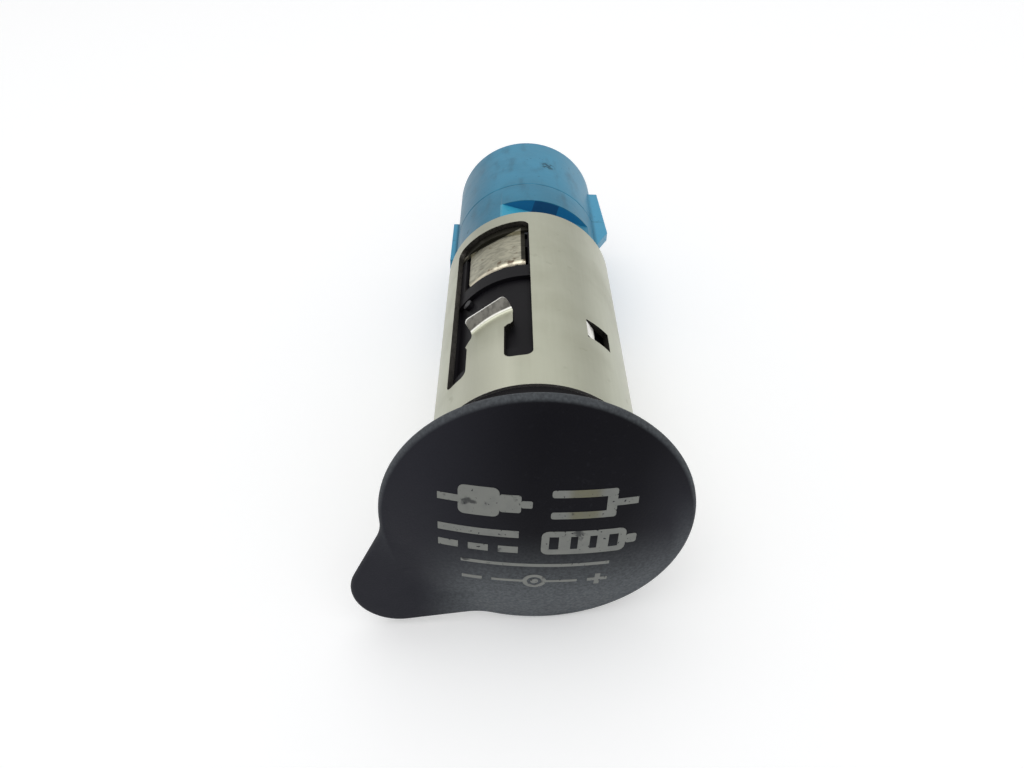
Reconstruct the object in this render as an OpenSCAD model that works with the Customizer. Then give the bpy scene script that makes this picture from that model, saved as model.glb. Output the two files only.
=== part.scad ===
// Car 12 V power socket with a hinged lid, a steel shell and a plastic connector housing.
// The axis of the well lies along Y. The lid is at the front, towards -Y, and +Z is up.
// The origin is on the axis at the steel shell's front edge. All sizes are in millimetres.
// Angles are in degrees from the top, positive clockwise as seen from the front.

/* [Well and barrel] */
// Radius of the well that takes the plug
well_r = 10.7; // [10.6:0.05:10.8]
// Wall of the barrel round the well
liner_wall = 1.1; // [1:0.05:1.4]
// Depth of the well from the front of the neck
well_depth = 41.2; // [40:0.2:43]
// Radius of the well's mouth, where the ring on the lid's back sits
mouth_r = 11.1; // [11:0.05:11.2]
// Depth of the well's mouth
mouth_depth = 3.2; // [3.1:0.1:3.6]
// Radius of the rear of the well, round the ground clips
chamber_r = 11.05; // [11:0.05:11.1]
// Length by which that rear part starts in front of the clips' slots
chamber_lead = 0.6; // [0.4:0.1:1]
// Thickness of the floor that closes the well
floor_t = 2.4; // [2:0.1:2.8]
// Length of the neck that stands out in front of the shell
neck_len = 7.2; // [6.4:0.1:8]
// Height of the shoulder that the shell butts against, above the shell's bore
shoulder_h = 0.35; // [0.2:0.05:0.5]
// Wall that is left under the latch tongue's recess
recess_wall = 0.5; // [0.35:0.05:0.6]
// Front end of the recess under the latch tongue
recess_front = 8.3; // [7.8:0.1:9]
// Width of the rib between the recess and the contact slot
rib_w = 2.8; // [2:0.1:3.4]
// Radius of the moulded nub in the recess
nub_r = 0.7; // [0.5:0.05:0.9]
// Angle from the tongue's left edge to the nub
nub_turn = 7; // [6:0.5:8]
// Distance of the nub in front of the recess's rear end
nub_back = 1.2; // [1:0.1:2]

/* [Steel shell] */
// Thickness of the shell's sheet
shell_wall = 0.75; // [0.6:0.05:0.9]
// Length by which the shell covers the connector housing
shell_cover = 2.15; // [1.8:0.05:2.6]
// Angle at which the window starts
window_from = -59; // [-62:1:-56]
// Angle at which the window ends
window_to = -3; // [-5:1:-1]
// Front ends of the slots beside the tongue
slot_front = 5.5; // [4.6:0.1:6.4]
// Width of the shell's band behind the window
window_band = 2.75; // [2.4:0.05:3.2]
// Corner radius of the window
window_corner = 1.3; // [0.8:0.1:1.6]
// Angle at which the latch tongue starts
tongue_from = -43; // [-45:1:-41]
// Angle at which the latch tongue ends
tongue_to = -19; // [-21:1:-17]
// Rear end of the tongue's narrow stem
stem_rear = 12.4; // [11.8:0.1:13]
// How far the tongue's head is wider than its stem at the right, in degrees
head_right = 5; // [3:0.5:6]
// Mean distance of the lip from the shell's front edge
lip_y = 14; // [13.4:0.1:14.6]
// Skew of the lip across the tongue
lip_skew = 20; // [15:1:25]
// Lean of the lip towards the rear
lip_lean = 20; // [10:1:30]
// Height of the lip above the shell
lip_rise = 1.3; // [1:0.1:1.6]
// Shift of the lip clockwise from the middle of the tongue's head
lip_shift = 0.9; // [0.6:0.1:1.2]
// Angle at which the catch hole starts
hole_from = 30; // [28:1:32]
// Angle at which the catch hole ends
hole_to = 47.5; // [45:0.5:50]
// Front edge of the catch hole
hole_front = 11.8; // [11:0.1:12.6]
// Rear edge of the catch hole
hole_rear = 15.65; // [15.2:0.05:16.4]
// Length of the lanced tab that catches in the barrel
catch_len = 2.2; // [1.6:0.1:2.4]
// Inward bend of the lanced tab
catch_bend = 18; // [14:1:19]
// Gap at each side of the lanced tab
lance_gap = 0.4; // [0.3:0.05:0.5]
// Corner radius of the slots beside the tongue
slot_corner = 1; // [0.6:0.1:1.2]
// Corner radius of the catch hole
hole_corner = 0.3; // [0.2:0.05:0.5]
// Radius of the dimples that hold the connector housing
dimple_r = 0.8; // [0.6:0.05:1]
// Depth of the dimples inside the shell's bore
dimple_depth = 0.6; // [0.4:0.05:0.7]
// Angle of the dimples at both sides
dimple_angle = 150; // [145:1:155]

/* [Lid] */
// Radius of the round lid
lid_r = 17.7; // [17.4:0.1:18.4]
// Thickness of the lid at its rim
lid_t = 1.4; // [1.2:0.1:1.8]
// Rise of the lid's face from rim to centre
lid_dome = 3; // [2.4:0.1:3.4]
// Direction of the finger tab
tab_angle = -129; // [-140:0.5:-120]
// Distance of the tab's lobe from the axis
tab_reach = 21; // [20.4:0.1:22]
// Radius of the tab's lobe
tab_r = 5.55; // [5.4:0.05:6.4]
// Slope of the tab's flanks against its centre line
tab_flank = 26.5; // [24:0.5:28]
// Radius that blends the tab into the round lid
tab_blend = 6; // [3:0.5:7]
// Depth of the ring on the lid's back
ring_depth = 2.8; // [2:0.1:3.2]
// Wall of the ring on the lid's back
ring_wall = 1.1; // [0.8:0.1:1.4]

/* [Hinge] */
// Distance of the hinge pin from the axis
hinge_reach = 14.4; // [14.2:0.1:14.8]
// Radius of the hinge pin
pin_r = 0.8; // [0.6:0.05:0.9]
// Radius of the hinge knuckles
knuckle_r = 1.3; // [1.2:0.05:1.4]
// Width of the lid's knuckle
knuckle_w = 4; // [3:0.2:5]
// Width of each ear on the barrel
ear_w = 1.6; // [1.2:0.1:2]

/* [Contacts] */
// Thickness of the ground clips' spring strip
clip_t = 0.4; // [0.35:0.05:0.45]
// Angle that each ground clip spans
clip_span = 46; // [40:1:48]
// Angle of the upper ground clip past the window's middle
clip_turn = 2; // [0:0.5:3]
// Distance of the ground clips' front fold in front of the well's floor
clip_lead = 5; // [4.6:0.1:6]
// Gap between the two legs of a ground clip
clip_gap = 0.45; // [0.4:0.05:0.5]
// Width of the ground ring's band
ring_w = 2; // [1.6:0.1:2.2]
// Thickness of the ground ring's sheet
ring_t = 0.4; // [0.35:0.05:0.45]
// Thickness of the terminals' sheet
blade_t = 0.8; // [0.7:0.05:0.9]
// Width of the terminals' blades
blade_w = 6.3; // [5.8:0.1:6.6]
// Distance of each blade's outer face from the axis
blade_x = 5; // [4.6:0.1:5.4]
// Length of the blades inside the connector cavity
blade_len = 12; // [8:0.5:14]
// Length of the blades' tapered tips
tip_len = 1.4; // [0.8:0.1:2]
// Metal round the terminals' rivet holes
plate_edge = 1; // [0.8:0.1:1.1]
// Shank radius of the centre contact's rivet
rivet_r = 2; // [1.6:0.1:2.2]
// Head radius of the centre contact's rivet
rivet_head_r = 3; // [2.8:0.1:3.2]
// Thickness of the rivet's heads
rivet_head_t = 0.7; // [0.5:0.05:0.8]
// Share of a rivet head's radius that is flat
rivet_flat = 0.6; // [0.5:0.05:0.8]
// Share of a rivet head's thickness that stands straight
rivet_edge = 0.35; // [0.2:0.05:0.5]
// Shank radius of the ground rivet
ground_rivet_r = 1.2; // [1:0.05:1.4]
// Head radius of the ground rivet
ground_head_r = 1.8; // [1.6:0.1:1.9]
// Distance of the ground rivet from the axis
ground_rivet_x = 7.2; // [7.1:0.1:7.4]
// Thickness of the insulating washer on the well's floor
insulator_t = 0.8; // [0.6:0.1:1]
// Radius of the insulating washer
insulator_r = 7.5; // [6.5:0.1:8.5]
// Radius of the centre contact
contact_r = 5; // [4.4:0.1:5.6]
// Height of the centre contact's raised middle
contact_rise = 1.2; // [0.8:0.1:1.4]
// Thickness of the centre contact's sheet
contact_t = 0.6; // [0.5:0.05:0.7]
// Thickness of the spring washer behind the floor
washer_t = 0.6; // [0.4:0.05:0.7]
// Radius of the spring washer
washer_r = 3.6; // [3.2:0.1:4]

/* [Connector housing] */
// Length of the connector housing
housing_len = 30.95; // [29:0.05:33]
// Wall round the connector cavity
housing_wall = 1.8; // [1.4:0.1:2]
// Distance of the connector cavity behind the housing's front
cavity_lead = 10.55; // [10.2:0.05:11.4]
// Thickness of the web in front of the cavity
web_t = 3.2; // [2.6:0.1:3.4]
// Wall round the room behind the well's floor
room_wall = 3.9; // [3.8:0.1:4.4]
// Wall round the wider front end of that room
room_front_wall = 2.6; // [2.5:0.05:2.7]
// Depth of the wider front end of that room
room_front_depth = 1.1; // [0.8:0.1:1.4]
// Direction of the flat recess in the housing
flat_angle = 14.5; // [10:0.5:18]
// Depth of the flat recess
flat_depth = 2.36; // [2:0.02:2.4]
// Length of the flat recess
flat_len = 7.85; // [7.2:0.05:8.4]
// Width of the pocket in the recess's rear wall
pocket_w = 3.9; // [2.4:0.1:4]
// Distance of the pocket's middle to the left of the flat's middle
pocket_left = 0.4; // [0:0.1:1.2]
// Height of the pocket in the recess's rear wall
pocket_h = 1.5; // [1:0.1:1.6]
// Depth of the pocket in the recess's rear wall
pocket_depth = 1.8; // [1:0.1:2]
// Height of the right wing's edge over the housing
wing_rise = 0.95; // [0.7:0.05:1.6]
// Thickness of the right wing
wing_t = 1.4; // [1.2:0.1:2]
// Height of the right wing's middle above the axis
wing_z = 4.7; // [4:0.1:5]
// Distance of the right wing behind the housing's front
wing_lead = 5.75; // [5.2:0.05:6.4]
// Length of the right wing
wing_len = 18.4; // [17:0.1:20]
// Length of the chamfer at the right wing's front
wing_chamfer = 4.2; // [3:0.1:5]
// Loss of the right wing's reach from front to rear
wing_taper = 0.6; // [0.2:0.1:0.8]
// Height of the left rib's edge over the housing
rib_rise = 0.9; // [0.6:0.05:1.2]
// Thickness of the left rib
rib_t = 1.8; // [1.4:0.1:2.4]
// Height of the left rib's middle above the axis
rib_z = 0.3; // [0:0.1:0.6]
// Distance of the left rib behind the housing's front
rib_lead = 7.15; // [6.4:0.05:8]
// Length of the left rib
rib_len = 12.4; // [11:0.1:14]

/* [Clearances] */
// Radial slip between barrel, ring, housing and shell
slip = 0.05; // [0.03:0.01:0.08]
// Radial running gap of the hinge pin in the lid's knuckle
pin_run = 0.05; // [0.02:0.01:0.08]
// Radial gap of a fixed pin, rivet or terminal in its hole
fixed_gap = 0.03; // [0.02:0.01:0.05]
// Gap between the closed lid and the neck, and beside its knuckle
lid_gap = 0.2; // [0.15:0.05:0.3]
// Radial gap between the lid's ring and the well
ring_gap = 0.3; // [0.25:0.05:0.4]
// Gap under the ground clips in their slots
slot_gap = 0.12; // [0.08:0.01:0.2]
// Gap between a ground clip's inner leg and the well's floor
leg_gap = 0.5; // [0.3:0.05:0.8]
// Length of the contact slots in front of the clips' fold
slot_lead = 1.6; // [1.2:0.1:2]
// Angle left free at each side of the clips, and of the shell's openings over their pockets
side_free = 2; // [1.5:0.5:3]
// Length of the pocket in the barrel beyond each end of the catch hole
catch_free = 0.8; // [0.5:0.1:1]
// Gap between the barrel's rear and the front head of the ground rivet
head_free = 0.3; // [0.2:0.05:0.4]

/* [Hidden] */
$fn = 96;

liner_r = well_r + liner_wall;
shell_in = liner_r + slip;
shell_r = shell_in + shell_wall;
neck_r = shell_in + shoulder_h;
recess_r = well_r + recess_wall;
floor_y = well_depth - neck_len;
barrel_rear = floor_y + floor_t;
clip_front = floor_y - clip_lead;
slot_y = clip_front - slot_lead;
recess_rear = slot_y - rib_w;
mouth_floor = mouth_depth - neck_len;

window_mid = (window_from + window_to) / 2;
tongue_mid = (tongue_from + tongue_to + head_right) / 2;
lip_w = (tongue_to + head_right - tongue_from) * PI / 180 * shell_r;
lip_corner = lip_rise / 2;
flank_turn = 90 - tab_flank;
flank_d = tab_reach * sin(tab_flank) + tab_r;
blend_angle = flank_turn - acos((flank_d + tab_blend) / (lid_r + tab_blend));
blend_centre = (lid_r + tab_blend) * [cos(blend_angle), sin(blend_angle)];

hinge_angle = tab_angle + 180;
hinge_y = knuckle_r - neck_len;
lid_back = -neck_len - lid_gap;
rim_r = lid_t / 2;
ring_r = mouth_r - ring_gap;
pin_len = knuckle_w + 2 * (lid_gap + ear_w);

clip_angle = window_mid + clip_turn;
clip_out = liner_r - ring_t;
clip_hook = clip_gap + clip_t * 2;
clip_mid_r = clip_out - clip_hook / 2;
washer_rear = barrel_rear + washer_t;
plate_rear = washer_rear + blade_t;
ring_y = barrel_rear + rivet_head_t + head_free;
ring_rear = ring_y + ring_w;
ground_plate_y = ring_y + ring_t;
ground_head_y = ground_plate_y + blade_t;
contact_y = floor_y - insulator_t;
contact_top = contact_y - contact_t - contact_rise;

housing_r = shell_in - slip;
housing_front = ring_rear + slip;
housing_rear = housing_front + housing_len;
shell_len = housing_front + shell_cover;
window_rear = shell_len - window_band;
dimple_y = (housing_front + shell_len) / 2;
cavity_r = housing_r - housing_wall;
cavity_front = housing_front + cavity_lead;
web_front = cavity_front - web_t;
room_r = housing_r - room_wall;
room_front_r = housing_r - room_front_wall;
flat_h = housing_r - flat_depth;
flat_rear = housing_front + flat_len;
blade_tip = cavity_front + blade_len;

// Steps of the lid's face from its centre out, and of its outline round the tab, the blend and the disc
face_rings = 4;
lobe_steps = 8;
blend_steps = 4;
disc_steps = 22;
// Small overlap of joined shapes, and how far cuts run past the faces that they open
eps = 0.01;
over = 1;

// A ring sector about the axis, from angle a0 to a1, radius r0 to r1 and y0 to y1
module sector(a0, a1, r0, r1, y0, y1) {
    rotate([-90, 0, 0])
        rotate([0, 0, a0 - 90])
            rotate_extrude(angle = a1 - a0)
                translate([r0, y0])
                    square([r1 - r0, y1 - y0]);
}

// A round bar on the axis, from y0 to y1
module bar(r, y0, y1) {
    translate([0, y0, 0])
        rotate([-90, 0, 0])
            cylinder(r = r, h = y1 - y0);
}

// A tube on the axis, from y0 to y1
module tube(r_in, r_out, y0, y1) {
    difference() {
        bar(r_out, y0, y1);
        bar(r_in, y0 - eps, y1 + eps);
    }
}

// Places its children at angle a and station y, with their z outwards and their x clockwise
module radial(a, y) {
    rotate([0, a, 0])
        translate([0, y, 0])
            children();
}

// Points of a rectangle from (x0, y0) to (x1, y1) with rounded corners
function round_rect(x0, y0, x1, y1, r, steps = 6) = [
    for (q = [[x1 - r, y1 - r, 0], [x0 + r, y1 - r, 90], [x0 + r, y0 + r, 180], [x1 - r, y0 + r, 270]])
        for (i = [0:steps])
            [q[0] + r * cos(q[2] + 90 * i / steps), q[1] + r * sin(q[2] + 90 * i / steps)]
];

// Sideways place of angle a on the shell's outside, seen along the direction of angle mid
function chord(a, mid) = shell_r * sin(a - mid);

// Cuts inwards along angle a with an outline whose x is clockwise and whose y runs along the axis
module cut_along(a) {
    radial(a, 0)
        translate([0, 0, shell_in / 2])
            linear_extrude(shell_r)
                children();
}

// A rod along the hinge's line, of radius r and length len, centred at x
module hinge_rod(r, len, x = 0) {
    radial(hinge_angle, hinge_y)
        translate([x - len / 2, 0, hinge_reach])
            rotate([0, 90, 0])
                cylinder(r = r, h = len, $fn = 48);
}

// One half of the lid's outline, d inside its edge, from the tab's tip round to the far side
function half_outline(d) = concat(
    [for (i = [0:lobe_steps]) let (a = flank_turn * i / lobe_steps) [tab_reach, 0] + (tab_r - d) * [cos(a), sin(a)]],
    [for (i = [0:blend_steps]) let (a = 180 + flank_turn + (blend_angle - flank_turn) * i / blend_steps)
        blend_centre + (tab_blend + d) * [cos(a), sin(a)]],
    [for (i = [1:disc_steps]) let (a = blend_angle + (180 - blend_angle) * i / disc_steps)
        (lid_r - d) * [cos(a), sin(a)]]
);

// The whole outline of the lid, d inside its edge
function lid_outline(d) = let (half = half_outline(d))
    concat(half, [for (i = [len(half) - 2:-1:1]) [half[i][0], -half[i][1]]]);

// Height of the domed face above the rim's face at distance r from the axis
function dome_at(r) = lid_dome * (1 - pow(min(r / (lid_r - rim_r), 1), 2));

// A ring of points on the face: the outline of the flat face drawn in to the share s of its size
function face_ring(s) = [for (p = lid_outline(rim_r)) [s * p[0], s * p[1], -rim_r - dome_at(s * norm(p))]];

// A ring of points on the half-round edge, a degrees round from the face
function edge_ring(a) = [for (p = lid_outline(rim_r * (1 - sin(a)))) [p[0], p[1], -rim_r * cos(a)]];

// The lid's plate, with its domed face towards -z and its tab towards +x
module lid_plate() {
    rings = concat([for (k = [1:face_rings - 1]) face_ring(k / face_rings)], [for (a = [0:30:180]) edge_ring(a)]);
    n = len(rings[0]);
    last = n * len(rings);
    polyhedron(
        points = concat([for (ring = rings) each ring], [[0, 0, -rim_r - lid_dome], [0, 0, rim_r]]),
        faces = concat(
            [for (i = [0:n - 1]) [last, i, (i + 1) % n]],
            [for (k = [0:len(rings) - 2], i = [0:n - 1]) [k * n + i, (k + 1) * n + i, k * n + (i + 1) % n]],
            [for (k = [0:len(rings) - 2], i = [0:n - 1])
                [(k + 1) * n + i, (k + 1) * n + (i + 1) % n, k * n + (i + 1) % n]],
            [for (i = [0:n - 1]) [last + 1, last - n + (i + 1) % n, last - n + i]]
        )
    );
}

// Round lid with a finger tab, a plug ring and the middle knuckle of the hinge
module lid() {
    color([0.09, 0.095, 0.11])
        difference() {
            union() {
                rotate([0, tab_angle, 0])
                    translate([0, lid_back - rim_r, 0])
                        rotate([-90, -90, 0])
                            lid_plate();
                tube(ring_r - ring_wall, ring_r, lid_back - eps, lid_back + ring_depth);
                hinge_rod(knuckle_r, knuckle_w);
                radial(hinge_angle, hinge_y)
                    translate([-knuckle_w / 2, -knuckle_r - lid_gap - rim_r, hinge_reach - knuckle_r])
                        cube([knuckle_w, knuckle_r + lid_gap + rim_r, 2 * knuckle_r]);
            }
            hinge_rod(pin_r + pin_run, knuckle_w + over);
        }
}

// Steel pin of the lid's hinge
module hinge_pin() {
    color([0.62, 0.62, 0.6])
        hinge_rod(pin_r, pin_len);
}

// Black barrel: the neck, the well and its floor, with the ears of the hinge
module barrel() {
    ear_x = (knuckle_w + ear_w) / 2 + lid_gap;
    color([0.07, 0.07, 0.075])
        difference() {
            union() {
                bar(neck_r, -neck_len, 0);
                bar(liner_r, -eps, barrel_rear);
                for (side = [-1, 1]) {
                    hinge_rod(knuckle_r, ear_w, side * ear_x);
                    radial(hinge_angle, hinge_y)
                        translate([side * ear_x - ear_w / 2, -knuckle_r, well_r + liner_wall / 2])
                            cube([ear_w, 2 * knuckle_r, hinge_reach - well_r - liner_wall / 2]);
                }
            }
            bar(mouth_r, -neck_len - over, mouth_floor);
            bar(well_r, mouth_floor - eps, slot_y);
            bar(chamber_r, slot_y - chamber_lead, floor_y);
            bar(rivet_r + fixed_gap, floor_y - over, barrel_rear + over);
            hinge_rod(pin_r + fixed_gap, pin_len + over);
            sector(window_from - side_free, window_to + side_free, recess_r, liner_r + over,
                recess_front, recess_rear);
            sector(hole_from - side_free, hole_to + side_free, recess_r, liner_r + over,
                hole_front - catch_free, hole_rear + catch_free);
            for (a = [clip_angle, clip_angle + 180]) {
                slot_half = clip_span / 2 + side_free;
                sector(a - slot_half, a + slot_half, well_r - over, liner_r + over, slot_y, floor_y);
                sector(a - slot_half, a + slot_half, clip_out - clip_t - slot_gap, liner_r + over, floor_y - eps,
                    barrel_rear + over);
            }
        }
    color([0.07, 0.07, 0.075])
        radial(tongue_from - nub_turn, recess_rear - nub_back)
            translate([0, 0, recess_r - recess_wall / 2])
                cylinder(r = nub_r, h = liner_r - recess_r + recess_wall / 2, $fn = 32);
}

// The openings beside and behind the latch tongue, seen along the window's middle
module window_outline() {
    left = chord(window_from, window_mid);
    right = chord(window_to, window_mid);
    stem_left = chord(tongue_from, window_mid);
    stem_right = chord(tongue_to, window_mid);
    head_x = chord(tongue_to + head_right, window_mid);
    slot_rear = stem_rear + 2 * window_corner;
    difference() {
        union() {
            polygon(round_rect(left, stem_rear, right, window_rear, window_corner));
            polygon(round_rect(left, slot_front, stem_left, slot_rear, slot_corner));
            polygon(round_rect(stem_right, slot_front, right, slot_rear, slot_corner));
        }
        polygon([[stem_left, stem_rear - window_corner], [stem_right, stem_rear - window_corner],
            [stem_right, stem_rear], [head_x, stem_rear], [head_x, lip_line(head_x)],
            [stem_left, lip_line(stem_left)]]);
    }
}

// Station of the tongue's skewed rear end at the sideways place x
function lip_line(x) = lip_y + (x - chord(tongue_mid, window_mid)) * tan(lip_skew);

// The lip's outline with rounded outer corners, its foot a sheet's thickness below y = 0
module lip_outline() {
    polygon(concat(
        [for (side = [1, -1], i = [0:6]) let (a = side > 0 ? 15 * i : 90 + 15 * i)
            [side * (lip_w / 2 - lip_corner) + lip_corner * cos(a), lip_rise - lip_corner + lip_corner * sin(a)]],
        [[-lip_w / 2, -shell_wall], [lip_w / 2, -shell_wall]]
    ));
}

// Steel shell with its window, latch tongue, catch hole and lanced tab
module shell() {
    hole_mid = (hole_from + hole_to) / 2;
    catch_w = hole_rear - hole_front - 2 * lance_gap;
    color([0.7, 0.71, 0.66]) {
        difference() {
            tube(shell_in, shell_r, 0, shell_len);
            cut_along(window_mid)
                window_outline();
            cut_along(hole_mid)
                polygon(round_rect(chord(hole_from, hole_mid), hole_front, chord(hole_to, hole_mid), hole_rear,
                    hole_corner));
        }
        radial(tongue_mid, lip_y)
            rotate([0, 0, lip_skew])
                translate([lip_shift, 0, shell_r])
                    rotate([90 - lip_lean, 0, 0])
                        linear_extrude(shell_wall, center = true)
                            lip_outline();
        radial(hole_from, (hole_front + hole_rear) / 2)
            translate([0, 0, shell_in])
                rotate([0, catch_bend, 0])
                    translate([-shell_wall / 2, -catch_w / 2, 0])
                        cube([catch_len + shell_wall / 2, catch_w, shell_wall]);
        for (side = [-1, 1])
            radial(side * dimple_angle, dimple_y)
                translate([0, 0, shell_in - dimple_depth])
                    cylinder(r = dimple_r, h = dimple_depth + shell_wall / 2, $fn = 32);
    }
}

// One ground clip: a strip folded on itself at its front, centred at the top
module ground_clip(angle) {
    color([0.66, 0.64, 0.58])
        rotate([-90, 0, 0])
            rotate([0, 0, angle - clip_span / 2 - 90])
                rotate_extrude(angle = clip_span) {
                    fold_y = clip_front + clip_hook / 2;
                    leg = floor_y - leg_gap - fold_y;
                    translate([clip_out - clip_t, fold_y])
                        square([clip_t, ring_rear - fold_y]);
                    difference() {
                        translate([clip_mid_r, fold_y])
                            circle(d = clip_hook, $fn = 48);
                        translate([clip_mid_r, fold_y])
                            circle(d = clip_gap, $fn = 48);
                        translate([clip_mid_r - clip_hook, fold_y])
                            square([clip_hook * 2, clip_hook]);
                    }
                    translate([clip_out - clip_hook, fold_y])
                        square([clip_t, leg]);
                }
}

module ground_clip_upper() {
    ground_clip(clip_angle);
}

module ground_clip_lower() {
    ground_clip(clip_angle + 180);
}

// Ground ring with the inward tab that carries the ground terminal
module ground_ring() {
    color([0.72, 0.7, 0.62])
        difference() {
            union() {
                tube(liner_r - ring_t, liner_r, ring_y, ring_rear);
                translate([-liner_r + ring_t / 2, ring_y, -blade_w / 2])
                    cube([liner_r - blade_x - ring_t, ring_t, blade_w]);
            }
            ground_rivet_bore();
        }
}

module ground_rivet_bore() {
    translate([-ground_rivet_x, ring_y - over, 0])
        rotate([-90, 0, 0])
            cylinder(r = ground_rivet_r + fixed_gap, h = ground_head_y - ring_y + 2 * over, $fn = 48);
}

// A headed rivet along y: shank from y0 to y1 and a head outside each end
module rivet(r, head_r, y0, y1) {
    flat_r = head_r * rivet_flat;
    edge_t = rivet_head_t * rivet_edge;
    rotate([-90, 0, 0])
        rotate_extrude()
            polygon([[0, y0 - rivet_head_t], [flat_r, y0 - rivet_head_t], [head_r, y0 - edge_t], [head_r, y0],
                [r, y0], [r, y1], [head_r, y1], [head_r, y1 + edge_t], [flat_r, y1 + rivet_head_t],
                [0, y1 + rivet_head_t]]);
}

module ground_rivet() {
    color([0.75, 0.72, 0.6])
        translate([-ground_rivet_x, 0, 0])
            rivet(ground_rivet_r, ground_head_r, ring_y, ground_head_y);
}

// A flat blade from y0 to its tip, with its outer face at x = blade_x
module blade(y0) {
    translate([blade_x - blade_t, 0, 0])
        rotate([90, 0, 90])
            linear_extrude(blade_t)
                polygon([[y0, -blade_w / 2], [blade_tip - tip_len, -blade_w / 2], [blade_tip, -blade_w / 2 + tip_len],
                    [blade_tip, blade_w / 2 - tip_len], [blade_tip - tip_len, blade_w / 2], [y0, blade_w / 2]]);
}

// Ground terminal: a foot on the ring's tab and a blade
module ground_terminal() {
    foot = ground_rivet_x + ground_rivet_r + plate_edge;
    color([0.8, 0.66, 0.34])
        difference() {
            union() {
                mirror([1, 0, 0])
                    blade(ground_plate_y);
                translate([-foot, ground_plate_y, -blade_w / 2])
                    cube([foot - blade_x + blade_t, blade_t, blade_w]);
            }
            ground_rivet_bore();
        }
}

// Fibre washer between the centre contact and the well's floor
module contact_insulator() {
    color([0.45, 0.3, 0.18])
        tube(rivet_r + fixed_gap, insulator_r, contact_y, floor_y);
}

// Centre contact: a dished washer with a raised middle
module centre_contact() {
    flange_y = contact_y - contact_t;
    step_r = rivet_head_r + contact_rise / 2;
    color([0.82, 0.68, 0.36])
        rotate([-90, 0, 0])
            rotate_extrude()
                polygon([[rivet_r + fixed_gap, contact_top], [rivet_head_r, contact_top], [step_r, flange_y],
                    [contact_r, flange_y], [contact_r, contact_y], [rivet_r + fixed_gap, contact_y]]);
}

// Rivet that holds the centre contact, the floor, the washer and the positive terminal together
module contact_rivet() {
    color([0.75, 0.72, 0.6])
        rivet(rivet_r, rivet_head_r, contact_top, plate_rear);
}

module spring_washer() {
    color([0.5, 0.5, 0.5])
        tube(rivet_r + fixed_gap, washer_r, barrel_rear, washer_rear);
}

// Positive terminal: a plate under the rivet and a blade
module positive_terminal() {
    reach = rivet_r + plate_edge;
    color([0.8, 0.66, 0.34])
        difference() {
            union() {
                blade(washer_rear);
                translate([-reach, washer_rear, -blade_w / 2])
                    cube([reach + blade_x, blade_t, blade_w]);
            }
            bar(rivet_r + fixed_gap, washer_rear - over, plate_rear + over);
        }
}

// Outline of the right wing from above, from inside the housing's wall outwards
module wing_outline() {
    reach = housing_r + wing_rise;
    front = housing_front + wing_lead;
    polygon([[room_r, front], [reach - wing_chamfer / 2, front], [reach, front + wing_chamfer],
        [reach - wing_taper, front + wing_len], [room_r, front + wing_len]]);
}

// Blue connector housing with its flat recess, wing, rib and connector cavity
module connector_housing() {
    color([0.16, 0.45, 0.66])
        difference() {
            union() {
                bar(housing_r, housing_front, housing_rear);
                translate([0, 0, wing_z - wing_t / 2])
                    linear_extrude(wing_t)
                        wing_outline();
                translate([-housing_r - rib_rise, housing_front + rib_lead, rib_z - rib_t / 2])
                    cube([rib_rise + room_wall, rib_len, rib_t]);
            }
            bar(cavity_r, cavity_front, housing_rear + over);
            bar(room_r, housing_front - over, web_front);
            bar(room_front_r, housing_front - over, housing_front + room_front_depth);
            radial(flat_angle, housing_front - over)
                translate([-housing_r, 0, flat_h])
                    cube([2 * housing_r, flat_rear - housing_front + over, housing_r]);
            radial(flat_angle, flat_rear - over)
                translate([-pocket_w / 2 - pocket_left, 0, flat_h])
                    cube([pocket_w, pocket_depth + over, pocket_h]);
            for (side = [-1, 1]) {
                translate([side * (blade_x - blade_t / 2), cavity_front - web_t / 2, 0])
                    cube([blade_t + 2 * fixed_gap, web_t + 2 * over, blade_w + 2 * fixed_gap], center = true);
                radial(side * dimple_angle, dimple_y)
                    translate([0, 0, cavity_r])
                        cylinder(r = dimple_r + slip, h = housing_wall + over, $fn = 32);
            }
        }
}

lid();
hinge_pin();
barrel();
shell();
ground_clip_upper();
ground_clip_lower();
ground_ring();
ground_rivet();
ground_terminal();
contact_insulator();
centre_contact();
contact_rivet();
spring_washer();
positive_terminal();
connector_housing();
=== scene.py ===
"""A car's round 12 V power socket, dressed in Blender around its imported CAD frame.

Sizes are in millimetres in the frame of the CAD: the well's axis lies along Y, the lid is at the
front, towards -Y, and +Z is up. The origin is on the axis at the steel shell's front edge. Angles
round the axis are in degrees from the top, clockwise as seen from the front.
"""

from __future__ import annotations

import logging
import math
from dataclasses import dataclass
from enum import Enum
from functools import cached_property
from typing import Any, Mapping, Sequence

import bmesh
import bpy
from bmesh.types import BMEdge, BMesh, BMFace, BMVert
from mathutils import Matrix, Vector

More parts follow.
